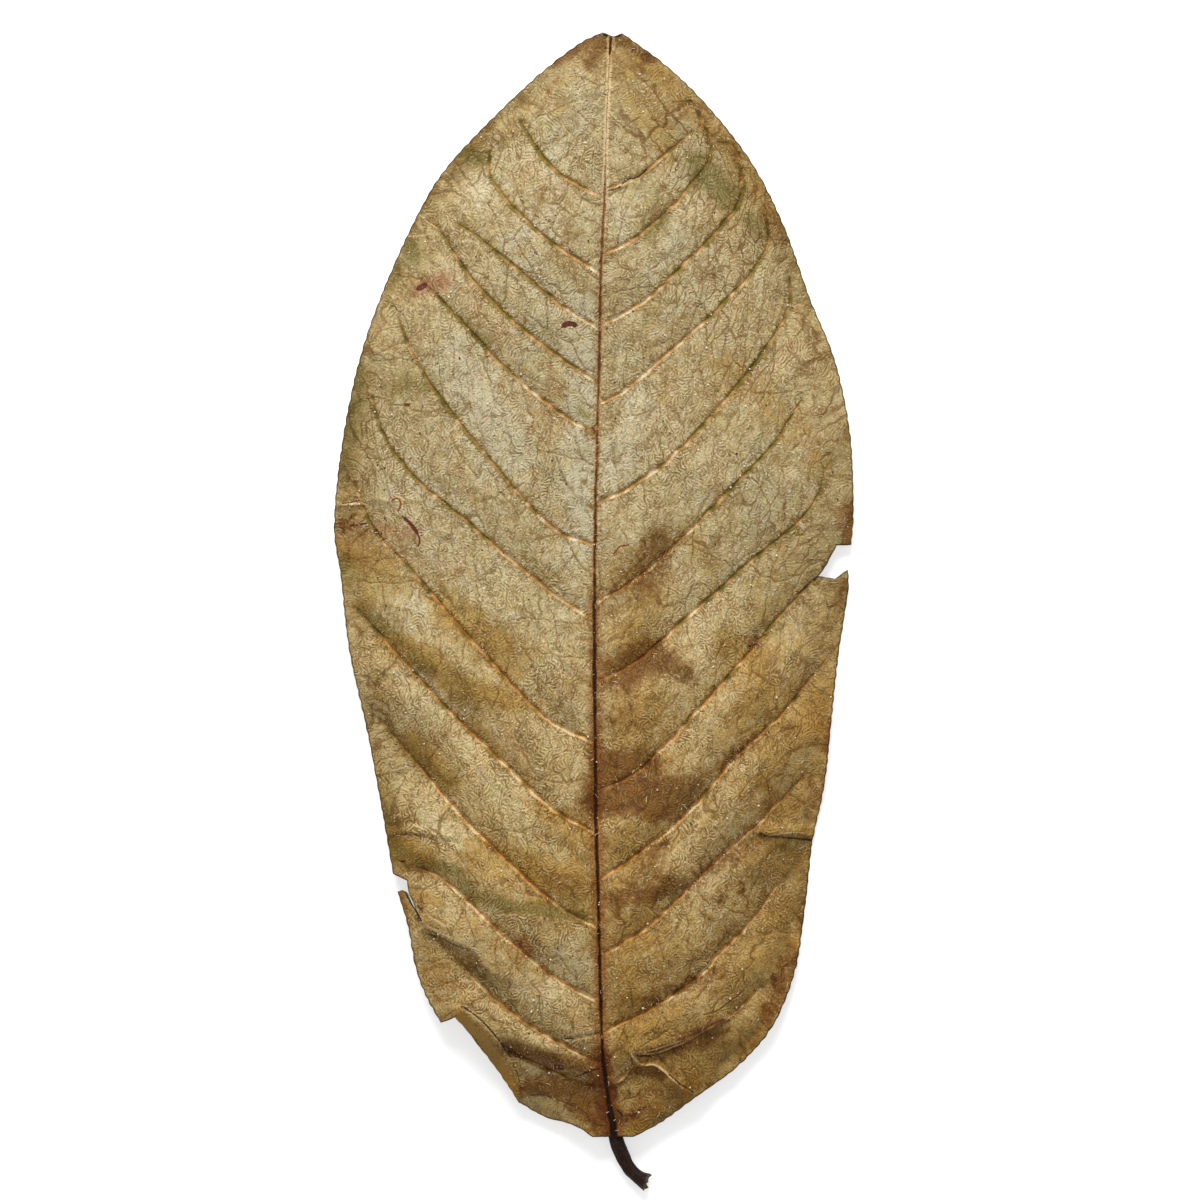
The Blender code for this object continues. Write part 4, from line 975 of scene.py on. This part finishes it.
# What covers what, from the tissue up: a value, where it fades out, where it is full, its
# strength there, and its colour. Stains soak in like dye, so they multiply what is under them:
# their colours start with *. Those that start with ~ change only the hue.
coats = [
    (cast.outputs["Red"], 0.47, 0.36, 0.45, "#b1ab87"),
    (cast.outputs["Green"], 0.53, 0.64, 0.40, "#b98c55"),
    # Dark and pale fold bands: partly stain, partly painted shade and painted light.
    (folds, 0.50, 0.36, banded, "#86703b"),
    (folds, 0.52, 0.66, banded, "#cdc19a"),
    # Whitened tissue, and painted light on the lit sides of folds.
    (stains["bleached_and_painted_light"], 0.0, 1.0, 0.8, "#d5ccaa"),
    # Wrinkle hollows and crests: partly own tone, partly painted shade and painted highlight.
    (wrinkle, 0.48, 0.36, hollow_tone_and_shade, "#614719"),
    (wrinkle, 0.50, 0.59, crest, "#e9d9ae"),
    (speckle, 0.56, 0.70, 0.56, "#e8dbb4"),
    (speckle, 0.44, 0.30, 0.58, "#6b4f20"),
    (tinge.outputs["Blue"], 0.54, 0.70, 0.50, "#e2d7b2"),
    (tinge.outputs["Blue"], 0.46, 0.30, 0.55, "#80622a"),
    (tinge.outputs["Red"], 0.51, 0.66, 0.34, "~a58a44"),
    (tinge.outputs["Green"], 0.54, 0.70, 0.30, "~b08558"),
    (tinge.outputs["Green"], 0.46, 0.30, 0.30, "~9a985c"),
    (flecks, 0.60, 0.72, 0.65, "#f0e3c0"),
    (flecks, 0.40, 0.28, 0.45, "#5f4820"),
    (veinlets[0], 0.050, 0.014, worn, "#745223"),
    (veinlets[1], 0.070, 0.020, netted, "#785426"),
    (field["vein"], 0.82, 0.42, thorns[0], "#5f481a"),
    (field["vein"], 0.42, 0.28, stem_edge, "#604a18"),
    (field["vein"], 0.33, 0.19, 0.90, vein_colour),
    (field["minor"], 0.13, 0.03, minor_strength, "#82602c"),
    (field["seam"], 1.05, 0.25, flush, "#a96c33"),
    (field["seam"], 0.80, 0.25, thorns[1], "#6b4820"),
    (field["seam"], 0.46, 0.24, ridge_shown, "#e2c795"),
    (field["seam"], 0.38, 0.12, 0.85, rib_colour),
    (field["seam"], 0.05, -0.04, 1.0, core_colour),
    (field["edge"], 0.20, 0.02, 0.72, "#4d3410"),
    (field["edge"], 6.0, 0.5, 0.45, "*e2d0a6"),
    (low_down, 0.0, 1.0, 1.0, "*fcf2df"),
    (stains["rolled"], 0.25, 0.8, 0.86, "#b8964e"),
    (stains["aged"], 0.0, 1.0, 1.0, "*e3d0a2"),
    (stains["ochre"], 0.0, 1.0, 0.8, "*dcc898"),
    # Olive and brown stains, some of them painted shade under lips and along folds.
    (stains["olive"], 0.0, 1.0, 0.65, "*c2bc88"),
    (stains["russet"], 0.0, 1.0, 0.8, "*e2b2ae"),
    (stains["brown"], 0.0, 1.0, 0.9, "*ad8c5a"),
    # Olive and brown stain colour with painted shade in the wrinkle hollows.
    (stain_and_hollow_shade[0], 0.20, 0.70, 0.76, "#655b28"),
    (stain_and_hollow_shade[1], 0.38, 0.95, 0.60, "#513c1b"),
    # Pale torn edges and crests: partly the tissue's own colour, partly painted highlight.
    (field["pale"], 0.07, -0.03, 0.95, "#dab97f"),
    # Umber lines: mostly painted shade under lips and folds.
    (field["umber"], 0.10, -0.02, 0.85, "#49300f"),
    (field["rust"], 0.07, -0.03, 0.95, "#7c3413"),
    (field["crimson"], 0.07, -0.03, 0.95, "#591d10"),
    # Black cracks, with painted shadow in the slits, under lips and along the rolled-over margin.
    (field["black"], 0.07, -0.03, 1.0, "#1a0f07"),
]
for value, faint, full, strength, tint in coats:
    blend = "MIX"
    if isinstance(tint, str):
        blend = {"*": "MULTIPLY", "~": "COLOR"}.get(tint[0], "MIX")
        tint = linear(tint)
    amount = add(skin, "MapRange", {"Value": value, "From Min": faint, "From Max": full,
                                    "To Max": strength}, interpolation_type="SMOOTHSTEP")
    colour = add(skin, "MixRGB", {"Fac": amount, "Color1": colour, "Color2": tint},
                 blend_type=blend)

# Relief too fine for the mesh: wrinkles, grain, and the sharp floors of the veins.
relief = add(skin, "Math", {0: speckle, 1: 0.5, 2: wrinkle}, operation="MULTIPLY_ADD")
for value, faint, full, depth in (
        (veinlets[0], 0.10, 0.02, 0.4), (field["vein"], 0.25, 0.05, 0.6),
        (field["seam"], 0.15, -0.05, 2.0), (field["minor"], 0.2, 0.05, 0.3)):
    sunk = add(skin, "MapRange", {"Value": value, "From Min": faint, "From Max": full,
                                  "To Max": -depth}, interpolation_type="SMOOTHSTEP")
    relief = add(skin, "Math", {0: relief, 1: sunk}, operation="ADD")
bumped = add(skin, "Bump", {"Height": relief, "Strength": 1.0, "Distance": 0.10 * MM})
shader = skin.nodes["Principled BSDF"]
skin.links.new(colour, shader.inputs["Base Color"])
skin.links.new(bumped, shader.inputs["Normal"])
shader.inputs["Roughness"].default_value = 0.62
shader.inputs["IOR"].default_value = 1.45
shader.inputs["Specular IOR Level"].default_value = 0.22
mesh.materials.append(upper_skin)

# Dry underside: matt and paler, with no cuticle. Its raised veins are brown.
underside = bpy.data.materials.new("dry_underside")
underside.use_nodes = True
below = underside.node_tree
place = add(below, "VectorMath", {0: add(below, "TexCoord", out="Object"), "Scale": 1 / MM},
            operation="SCALE")
mottle = add(below, "TexNoise", {"Vector": place, "Scale": 1 / 2.0, "Detail": 5.0,
                                 "Roughness": 0.7})
grain = add(below, "TexNoise", {"Vector": place, "Scale": 1 / 0.3, "Detail": 2.0})
colour = add(below, "ValToRGB", {"Fac": mottle},
             ramp=[(0.30, "#8a6f45"), (0.70, "#bfac84"), (0.5, "#a48c60")])
panel = add(below, "Attribute", out="Vector", attribute_name="panel")
net = add(below, "VectorMath", {0: panel, 1: (1 / 1.6, 1 / 1.8, 0)}, operation="MULTIPLY")
net = add(below, "TexVoronoi", {"Vector": net, "Scale": 1.0}, feature="DISTANCE_TO_EDGE",
          voronoi_dimensions="2D")
field = {name: add(below, "Attribute", out="Fac", attribute_name=name)
         for name in ("edge", "seam", "vein", "minor", "brown")}
for value, faint, full, strength, tint in (
        (grain, 0.55, 0.70, 0.5, "#d2c29b"), (grain, 0.45, 0.30, 0.4, "#6b532c"),
        (field["brown"], 0.2, 0.9, 0.6, "#6a4a26"), (net, 0.10, 0.03, 0.55, "#77592c"),
        (field["minor"], 0.25, 0.08, 0.6, "#7a5627"), (field["vein"], 0.42, 0.15, 0.85, "#80592a"),
        (field["seam"], 0.75, 0.35, 0.9, "#6b4520"), (field["edge"], 0.35, 0.05, 0.8, "#49300f")):
    amount = add(below, "MapRange", {"Value": value, "From Min": faint, "From Max": full,
                                     "To Max": strength}, interpolation_type="SMOOTHSTEP")
    colour = add(below, "MixRGB", {"Fac": amount, "Color1": colour, "Color2": linear(tint)})
raised = add(below, "MapRange", {"Value": net, "From Min": 0.18, "From Max": 0.03})
raised = add(below, "Math", {0: grain, 1: raised}, operation="ADD")
bumped = add(below, "Bump", {"Height": raised, "Strength": 1.0, "Distance": 0.06 * MM})
shader = below.nodes["Principled BSDF"]
below.links.new(colour, shader.inputs["Base Color"])
below.links.new(bumped, shader.inputs["Normal"])
shader.inputs["Roughness"].default_value = 0.8
shader.inputs["IOR"].default_value = 1.45
mesh.materials.append(underside)

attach(blade, "root")
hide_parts("guava_leaf")


# ---- The stalk --------------------------------------------------------------------------
# The leaf's own stalk, shrunken and dried to dark wood, ridged lengthwise and bent aside. It
# flares where it broke from the twig, and sinks into the midrib at the foot of the blade.

STALK = [  # x, y, height of its centre and radius, from the broken end to where it sinks in
    (3.95, -5.02, 1.02, 0.98), (3.55, -4.86, 0.98, 0.86), (3.1, -4.62, 0.92, 0.76),
    (2.6, -4.22, 0.86, 0.71), (1.95, -3.5, 0.84, 0.72), (1.30, -2.4, 0.86, 0.76),
    (0.82, -1.2, 0.92, 0.80), (0.46, 0.0, 1.00, 0.74), (0.14, 1.6, 1.50, 0.42),
    (-0.17, 3.4, 1.90, 0.24), (-0.45, 5.6, 2.42, 0.16), (-0.75, 7.6, 3.00, 0.08)]
STALK_SIDES = 44
STALK_STEP = 0.11
RIDGES = 9
RIDGE_SHARE = 0.05  # height of a ridge as a share of the radius
RIDGE_TWIST = 0.9  # radians that the ridges turn round the stalk in a millimetre
RIDGE_WANDER = (2.0, 0.8)  # radians that they stray from that, and how fast
SHRINK_SHARE = 0.10  # depth of the dents of the shrunken bark
SHRINK_PITCH = (1.5, 1.1)  # how closely dents follow each other round the stalk and along it
SCAR_DEPTH = 0.35  # how far the broken end is hollowed
SCAR_RAGGED = 0.5  # how far its rim stands in or out
SCAR_PITCH = 2.2
GROUND_GAP = 0.02

rails = np.array(STALK)
route = []
for before, start, end, after in zip(np.vstack([rails[:1], rails]), rails, rails[1:],
                                     np.vstack([rails[2:], rails[-1:]])):
    steps = np.arange(0, 1, STALK_STEP / np.hypot(*(end - start)[:2]))
    route += [between(before, start, end, after, t) for t in steps]
route = np.array(route + [rails[-1]])
along = np.gradient(route[:, :3], axis=0)
along /= np.linalg.norm(along, axis=1)[:, None]
aside = np.cross(along, (0, 0, 1))
aside /= np.linalg.norm(aside, axis=1)[:, None]
upward = np.cross(aside, along)
run = np.concatenate([[0], np.cumsum(np.linalg.norm(np.diff(route[:, :3], axis=0), axis=1))])
turn = np.arange(STALK_SIDES) * 2 * math.pi / STALK_SIDES
stalk_points = []
for (x, y, z, radius), ahead, across, up, way in zip(route, along, aside, upward, run):
    stray = RIDGE_WANDER[0] * math.sin(RIDGE_WANDER[1] * way)
    for angle in turn:
        c, s = math.cos(angle), math.sin(angle)
        ridge = math.sin(RIDGES * angle + RIDGE_TWIST * way + stray)
        round_pitch, long_pitch = SHRINK_PITCH
        shrunk = noise.noise((round_pitch * c, round_pitch * s, long_pitch * way))
        reach = radius * (1 + RIDGE_SHARE * ridge + SHRINK_SHARE * shrunk)
        point = np.array([x, y, z]) + reach * (c * across + s * up)
        if way == 0:
            ragged = noise.noise((SCAR_PITCH * c, SCAR_PITCH * s, 9.0))
            point -= ahead * SCAR_RAGGED * ragged
        stalk_points.append(point)
rings = len(route)
centre = len(stalk_points)
stalk_points.append(route[0, :3] + along[0] * SCAR_DEPTH)
stalk_points.append(route[-1, :3])
stalk_points = np.array(stalk_points)
stalk_points[:, 2] = np.maximum(stalk_points[:, 2], GROUND_GAP)
stalk_faces = []
for ring_number in range(rings - 1):
    for i in range(STALK_SIDES):
        j = (i + 1) % STALK_SIDES
        a, b = ring_number * STALK_SIDES, (ring_number + 1) * STALK_SIDES
        stalk_faces.append((a + i, b + i, b + j, a + j))
last = (rings - 1) * STALK_SIDES
for i in range(STALK_SIDES):
    j = (i + 1) % STALK_SIDES
    stalk_faces.append((centre, i, j))
    stalk_faces.append((centre + 1, last + j, last + i))
stalk_mesh = bpy.data.meshes.new("leaf_stalk")
stalk_mesh.from_pydata(world(stalk_points[:, :2], stalk_points[:, 2]).tolist(), [], stalk_faces)
stalk_mesh.shade_smooth()
spread_attribute(stalk_mesh, "run", np.concatenate([np.repeat(run, STALK_SIDES), [0.0, run[-1]]]))
stalk = bpy.data.objects.new("leaf_stalk", stalk_mesh)
bpy.context.scene.collection.objects.link(stalk)

# Dried stalk bark: thin, near black and dull, with a grey cast on its ridges. The broken end
# shows grey-olive fibre.
bark = bpy.data.materials.new("dried_stalk_bark")
bark.use_nodes = True
tree = bark.node_tree
place = add(tree, "VectorMath", {0: add(tree, "TexCoord", out="Object"), "Scale": 1 / MM},
            operation="SCALE")
way = add(tree, "Attribute", out="Fac", attribute_name="run")
streaks = add(tree, "VectorMath", {0: place, 1: (2.6, 1.0, 2.6)}, operation="MULTIPLY")
streaks = add(tree, "TexNoise", {"Vector": streaks, "Scale": 1.6, "Detail": 5.0, "Roughness": 0.7})
colour = add(tree, "ValToRGB", {"Fac": streaks},
             ramp=[(0.30, "#0c0503"), (0.75, "#533020"), (0.52, "#21110a")])
fibre = add(tree, "Math", {0: streaks, 1: 0.9, 2: way}, operation="MULTIPLY_ADD")
fibre = add(tree, "MapRange", {"Value": fibre, "From Min": 0.75, "From Max": 0.35})
colour = add(tree, "MixRGB", {"Fac": fibre, "Color1": colour, "Color2": linear("#6d6142")})
bumped = add(tree, "Bump", {"Height": streaks, "Strength": 1.0, "Distance": 0.12 * MM})
shader = tree.nodes["Principled BSDF"]
tree.links.new(colour, shader.inputs["Base Color"])
tree.links.new(bumped, shader.inputs["Normal"])
shader.inputs["Roughness"].default_value = 0.55
shader.inputs["IOR"].default_value = 1.45
shader.inputs["Specular IOR Level"].default_value = 0.15
stalk_mesh.materials.append(bark)
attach(stalk, "root")
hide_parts("guava_leaf")


# ---- The hairs --------------------------------------------------------------------------
# Stray pale hairs and shreds of cuticle, under a millimetre long. They lie loose over the
# tissue, and stand in a fringe across the veins and the midrib.

random.seed(7)
HAIR_COUNT = 1300
HAIR_LENGTH = (0.22, 0.80)
HAIR_HALF_WIDTH = (0.024, 0.044)
HAIR_TOP = 0.8  # height of a hair over its widest line, as a share of its half width
HAIR_SCATTER = 0.3
HAIR_BEND = 2.6  # the most that a hair turns along its length, in radians
HAIR_LIFT = (0.03, 0.07)  # of its middle over the tissue
HAIR_STATIONS = 6
FRINGE_ENDS = (0.6, 1.0)  # stretches with no fringe at a vein's start and end
FRINGE_STEP = (0.5, 1.6)  # along a vein from one hair of its fringe to the next
FRINGE_LEAN = (0.9, 1.6)  # angle between such a hair and its vein
FRINGE_LENGTH = (0.3, 0.75)
FRINGE_OFF = 0.12  # distance from the vein's middle to the hair's root
HEADING_SPAN = 0.4  # stretch of a vein that its direction is taken from

hair_starts = []  # place, heading and length
for number in range(HAIR_COUNT):
    scatter = np.random.default_rng(number).normal(0, HAIR_SCATTER, 2)
    x, y = upper_places[random.randrange(len(upper_places))] + scatter
    hair_starts.append((x, y, random.uniform(0, 2 * math.pi), random.uniform(*HAIR_LENGTH)))
for line in left_veins + right_veins + [midrib]:
    at = FRINGE_ENDS[0]
    runs = np.concatenate([[0], np.cumsum(np.hypot(*np.diff(line, axis=0).T))])
    while at < runs[-1] - FRINGE_ENDS[1]:
        x, y = (np.interp(at, runs, line[:, k]) for k in (0, 1))
        further_x, further_y = (np.interp(at + HEADING_SPAN, runs, line[:, k])
                                for k in (0, 1))
        heading = math.atan2(further_y - y, further_x - x)
        side = random.choice((-1, 1))
        heading += side * random.uniform(*FRINGE_LEAN)
        hair_starts.append((x + FRINGE_OFF * math.cos(heading), y + FRINGE_OFF * math.sin(heading),
                            heading, random.uniform(*FRINGE_LENGTH)))
        at += random.uniform(*FRINGE_STEP)

routes = []
for x, y, heading, length in hair_starts:
    bend = random.uniform(-HAIR_BEND, HAIR_BEND) / HAIR_STATIONS
    spots = []
    for station in range(HAIR_STATIONS):
        spots.append((x, y))
        x += math.cos(heading) * length / (HAIR_STATIONS - 1)
        y += math.sin(heading) * length / (HAIR_STATIONS - 1)
        heading += bend
    routes.append(spots)
routes = np.array(routes)
spots = routes.reshape(-1, 2)
spot_heights = leaf_heights(spots, leaf_survey(spots))[0].reshape(len(routes), HAIR_STATIONS)


def inside(places, margin):
    """Whether each place is on the leaf, at least a margin in from its outline."""
    x, y = places.T
    crossings = np.zeros(len(places), int)
    for (ax, ay), (bx, by) in zip(outline, np.roll(outline, -1, axis=0)):
        spans = (ay > y) != (by > y)
        if spans.any():
            crossings[spans] += x[spans] < ax + (y[spans] - ay) * (bx - ax) / (by - ay)
    clear = np.abs(from_line(places, np.vstack([outline, outline[:1]]))[0]) > margin
    return (crossings % 2 == 1) & clear


HAIR_MARGIN = 0.25  # hairs keep this far in from the outline
whole = inside(spots, HAIR_MARGIN).reshape(len(routes), HAIR_STATIONS).all(1)
hair_points = []
hair_faces = []
for spots, heights in zip(routes[whole], spot_heights[whole]):
    half_width = random.uniform(*HAIR_HALF_WIDTH)
    lift = random.uniform(*HAIR_LIFT)
    along = np.gradient(spots, axis=0)
    left = np.stack([-along[:, 1], along[:, 0]], 1) / np.hypot(*along.T)[:, None]
    first = len(hair_points)
    for k in range(HAIR_STATIONS):
        x, y = spots[k]
        z = heights[k] + lift
        if k in (0, HAIR_STATIONS - 1):
            hair_points.append((x, y, z))
            continue
        reach = half_width * left[k]
        hair_points += [(x - reach[0], y - reach[1], z), (x, y, z - half_width),
                        (x + reach[0], y + reach[1], z), (x, y, z + HAIR_TOP * half_width)]
    end = len(hair_points) - 1
    for k in range(4):
        near, far = first + 1 + k, first + 1 + (k + 1) % 4
        hair_faces.append((first, far, near))
        for step in range(HAIR_STATIONS - 3):
            hair_faces.append((near + 4 * step, far + 4 * step, far + 4 * step + 4,
                               near + 4 * step + 4))
        hair_faces.append((end, end - 4 + k, end - 4 + (k + 1) % 4))
hair_points = np.array(hair_points)
hair_mesh = bpy.data.meshes.new("stray_hairs")
hair_mesh.from_pydata(world(hair_points[:, :2], hair_points[:, 2]).tolist(), [], hair_faces)
hair_mesh.shade_smooth()
hairs = bpy.data.objects.new("stray_hairs", hair_mesh)
bpy.context.scene.collection.objects.link(hairs)

# Dry hair and cuticle shreds: thin, straw coloured and slightly shiny.
straw = bpy.data.materials.new("dry_hair")
straw.use_nodes = True
tree = straw.node_tree
place = add(tree, "VectorMath", {0: add(tree, "TexCoord", out="Object"), "Scale": 1 / MM},
            operation="SCALE")
tone = add(tree, "TexNoise", {"Vector": place, "Scale": 1 / 1.5, "Detail": 3.0})
colour = add(tree, "ValToRGB", {"Fac": tone},
             ramp=[(0.38, "#977840"), (0.68, "#efdfba"), (0.52, "#bfa46a")])
shader = tree.nodes["Principled BSDF"]
tree.links.new(colour, shader.inputs["Base Color"])
shader.inputs["Roughness"].default_value = 0.5
shader.inputs["IOR"].default_value = 1.5
hair_mesh.materials.append(straw)
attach(hairs, "root")
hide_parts("guava_leaf")


# ---- The grit ---------------------------------------------------------------------------
# Specks caught on the leaf: dark fungal dots and dirt, and pale grains of dried sap. Each is
# one to three tenths of a millimetre across and stuck to the tissue.

random.seed(11)
rng = np.random.default_rng(11)
GRIT_SCATTER = 0.15
GRIT_MARGIN = 0.3  # from the outline
GRIT_RARITY = 2.2  # over 1 makes large grains rarer than small ones
GRIT_LUMPS = (0.35, 9.0)  # how uneven a grain is, and the pitch of its lumps
GRIT_FLATNESS = 0.7
GRIT_LIFT = 0.3  # share of a grain's radius by which its middle stands over the tissue

# Name, how many are strewn, least and greatest radius, darkest and palest tint, and roughness.
for name, count, sizes, tints, roughness in (
        ("dark_grit", 620, (0.035, 0.110), ("#1a1009", "#4a3415"), 0.8),
        ("pale_grit", 780, (0.040, 0.150), ("#d2bf92", "#f6eed8"), 0.4)):
    spots = upper_places[rng.integers(0, len(upper_places), count)]
    spots = spots + rng.normal(0, GRIT_SCATTER, (count, 2))
    spots = spots[inside(spots, GRIT_MARGIN)]
    heights = leaf_heights(spots, leaf_survey(spots))[0]
    grit_mesh = bpy.data.meshes.new(name)
    shape = bmesh.new()
    for (x, y), z in zip(spots, heights):
        size = sizes[0] + (sizes[1] - sizes[0]) * random.random() ** GRIT_RARITY
        made = bmesh.ops.create_icosphere(shape, subdivisions=1, radius=size * MM)
        seat = Vector(world(np.array([[x, y]]), np.array([z + GRIT_LIFT * size]))[0])
        lumps, pitch = GRIT_LUMPS
        for vert in made["verts"]:
            vert.co *= 1 + lumps * noise.noise((vert.co / MM) * pitch + Vector((x, y, z)))
            vert.co.z *= GRIT_FLATNESS
            vert.co += seat
    shape.to_mesh(grit_mesh)
    shape.free()
    grit_mesh.shade_smooth()
    grit = bpy.data.objects.new(name, grit_mesh)
    bpy.context.scene.collection.objects.link(grit)
    # Dried crust: dull dark dirt, or pale sap with a faint shine, mottled from grain to grain.
    crust = bpy.data.materials.new("dried_" + name)
    crust.use_nodes = True
    tree = crust.node_tree
    place = add(tree, "VectorMath", {0: add(tree, "TexCoord", out="Object"), "Scale": 1 / MM},
                operation="SCALE")
    tone = add(tree, "TexNoise", {"Vector": place, "Scale": 1 / 1.2})
    colour = add(tree, "ValToRGB", {"Fac": tone}, ramp=[(0.35, tints[0]), (0.65, tints[1])])
    shader = tree.nodes["Principled BSDF"]
    tree.links.new(colour, shader.inputs["Base Color"])
    shader.inputs["Roughness"].default_value = roughness
    shader.inputs["IOR"].default_value = 1.5
    grit_mesh.materials.append(crust)
    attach(grit, "root")
    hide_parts("guava_leaf")


# ---- The light and the view -------------------------------------------------------------
# A plain pale floor that takes the leaf's shadow, one broad soft lamp beyond the tip and an
# even pale sky. The view is from straight above, far enough for almost no perspective.

FLOOR_REACH = 3.0  # metres from the middle
floor_corners = [(x * FLOOR_REACH, y * FLOOR_REACH, 0)
                 for x, y in ((-1, -1), (1, -1), (1, 1), (-1, 1))]
floor_mesh = bpy.data.meshes.new("floor")
floor_mesh.from_pydata(floor_corners, [], [(0, 1, 2, 3)])
floor = bpy.data.objects.new("floor", floor_mesh)
bpy.context.scene.collection.objects.link(floor)
# White uncoated paper: even and matt.
paper = bpy.data.materials.new("white_paper")
paper.use_nodes = True
shader = paper.node_tree.nodes["Principled BSDF"]
shader.inputs["Base Color"].default_value = linear("#f7f7f7")
shader.inputs["Roughness"].default_value = 0.9
shader.inputs["Emission Color"].default_value = (1, 1, 1, 1)
floor_mesh.materials.append(paper)

world_light = bpy.data.worlds.new("studio")
bpy.context.scene.world = world_light
world_light.use_nodes = True
world_light.node_tree.nodes["Background"].inputs["Color"].default_value = (1, 1, 1, 1)

# The floor and the sky look white to the camera, and to glossy and clear things, but light the
# leaf only softly.
SKY_LIGHT = 0.34
FLOOR_GLOW = 0.58
for tree, name, socket, lit, shown in (
        (paper.node_tree, "Principled BSDF", "Emission Strength", 0.0, FLOOR_GLOW),
        (world_light.node_tree, "Background", "Strength", SKY_LIGHT, 1.0)):
    seen = add(tree, "LightPath", out="Is Camera Ray").node
    direct = seen.outputs["Is Camera Ray"]
    for kind in ("Is Glossy Ray", "Is Transmission Ray"):
        direct = add(tree, "Math", {0: direct, 1: seen.outputs[kind]}, operation="MAXIMUM")
    strength = add(tree, "MapRange", {"Value": direct, "To Min": lit, "To Max": shown})
    tree.links.new(strength, tree.nodes[name].inputs[socket])


# A square softbox that faces the leaf.
LAMP_PLACE = (-0.08, 0.66, 0.46)
key_light = bpy.data.lights.new("key_lamp", "AREA")
key_light.size = 0.40
key_light.energy = 6.6
softbox = bpy.data.objects.new("key_lamp", key_light)
softbox.location = LAMP_PLACE
softbox.rotation_euler = (-Vector(LAMP_PLACE)).to_track_quat("-Z", "Y").to_euler()
bpy.context.scene.collection.objects.link(softbox)

FRAME_WIDTH = 130.7  # width in view at the height of the floor
VIEW_CENTRE = (0.70, 1.0)
VIEW_HEIGHT = 600.0
SENSOR_WIDTH = 36.0
camera = bpy.data.objects.new("camera", bpy.data.cameras.new("camera"))
camera.data.sensor_width = SENSOR_WIDTH
camera.data.lens = SENSOR_WIDTH * VIEW_HEIGHT / FRAME_WIDTH
camera.location = (VIEW_CENTRE[0] * MM, VIEW_CENTRE[1] * MM, VIEW_HEIGHT * MM)
bpy.context.scene.collection.objects.link(camera)
bpy.context.scene.camera = camera
bpy.context.scene.view_settings.view_transform = "Standard"
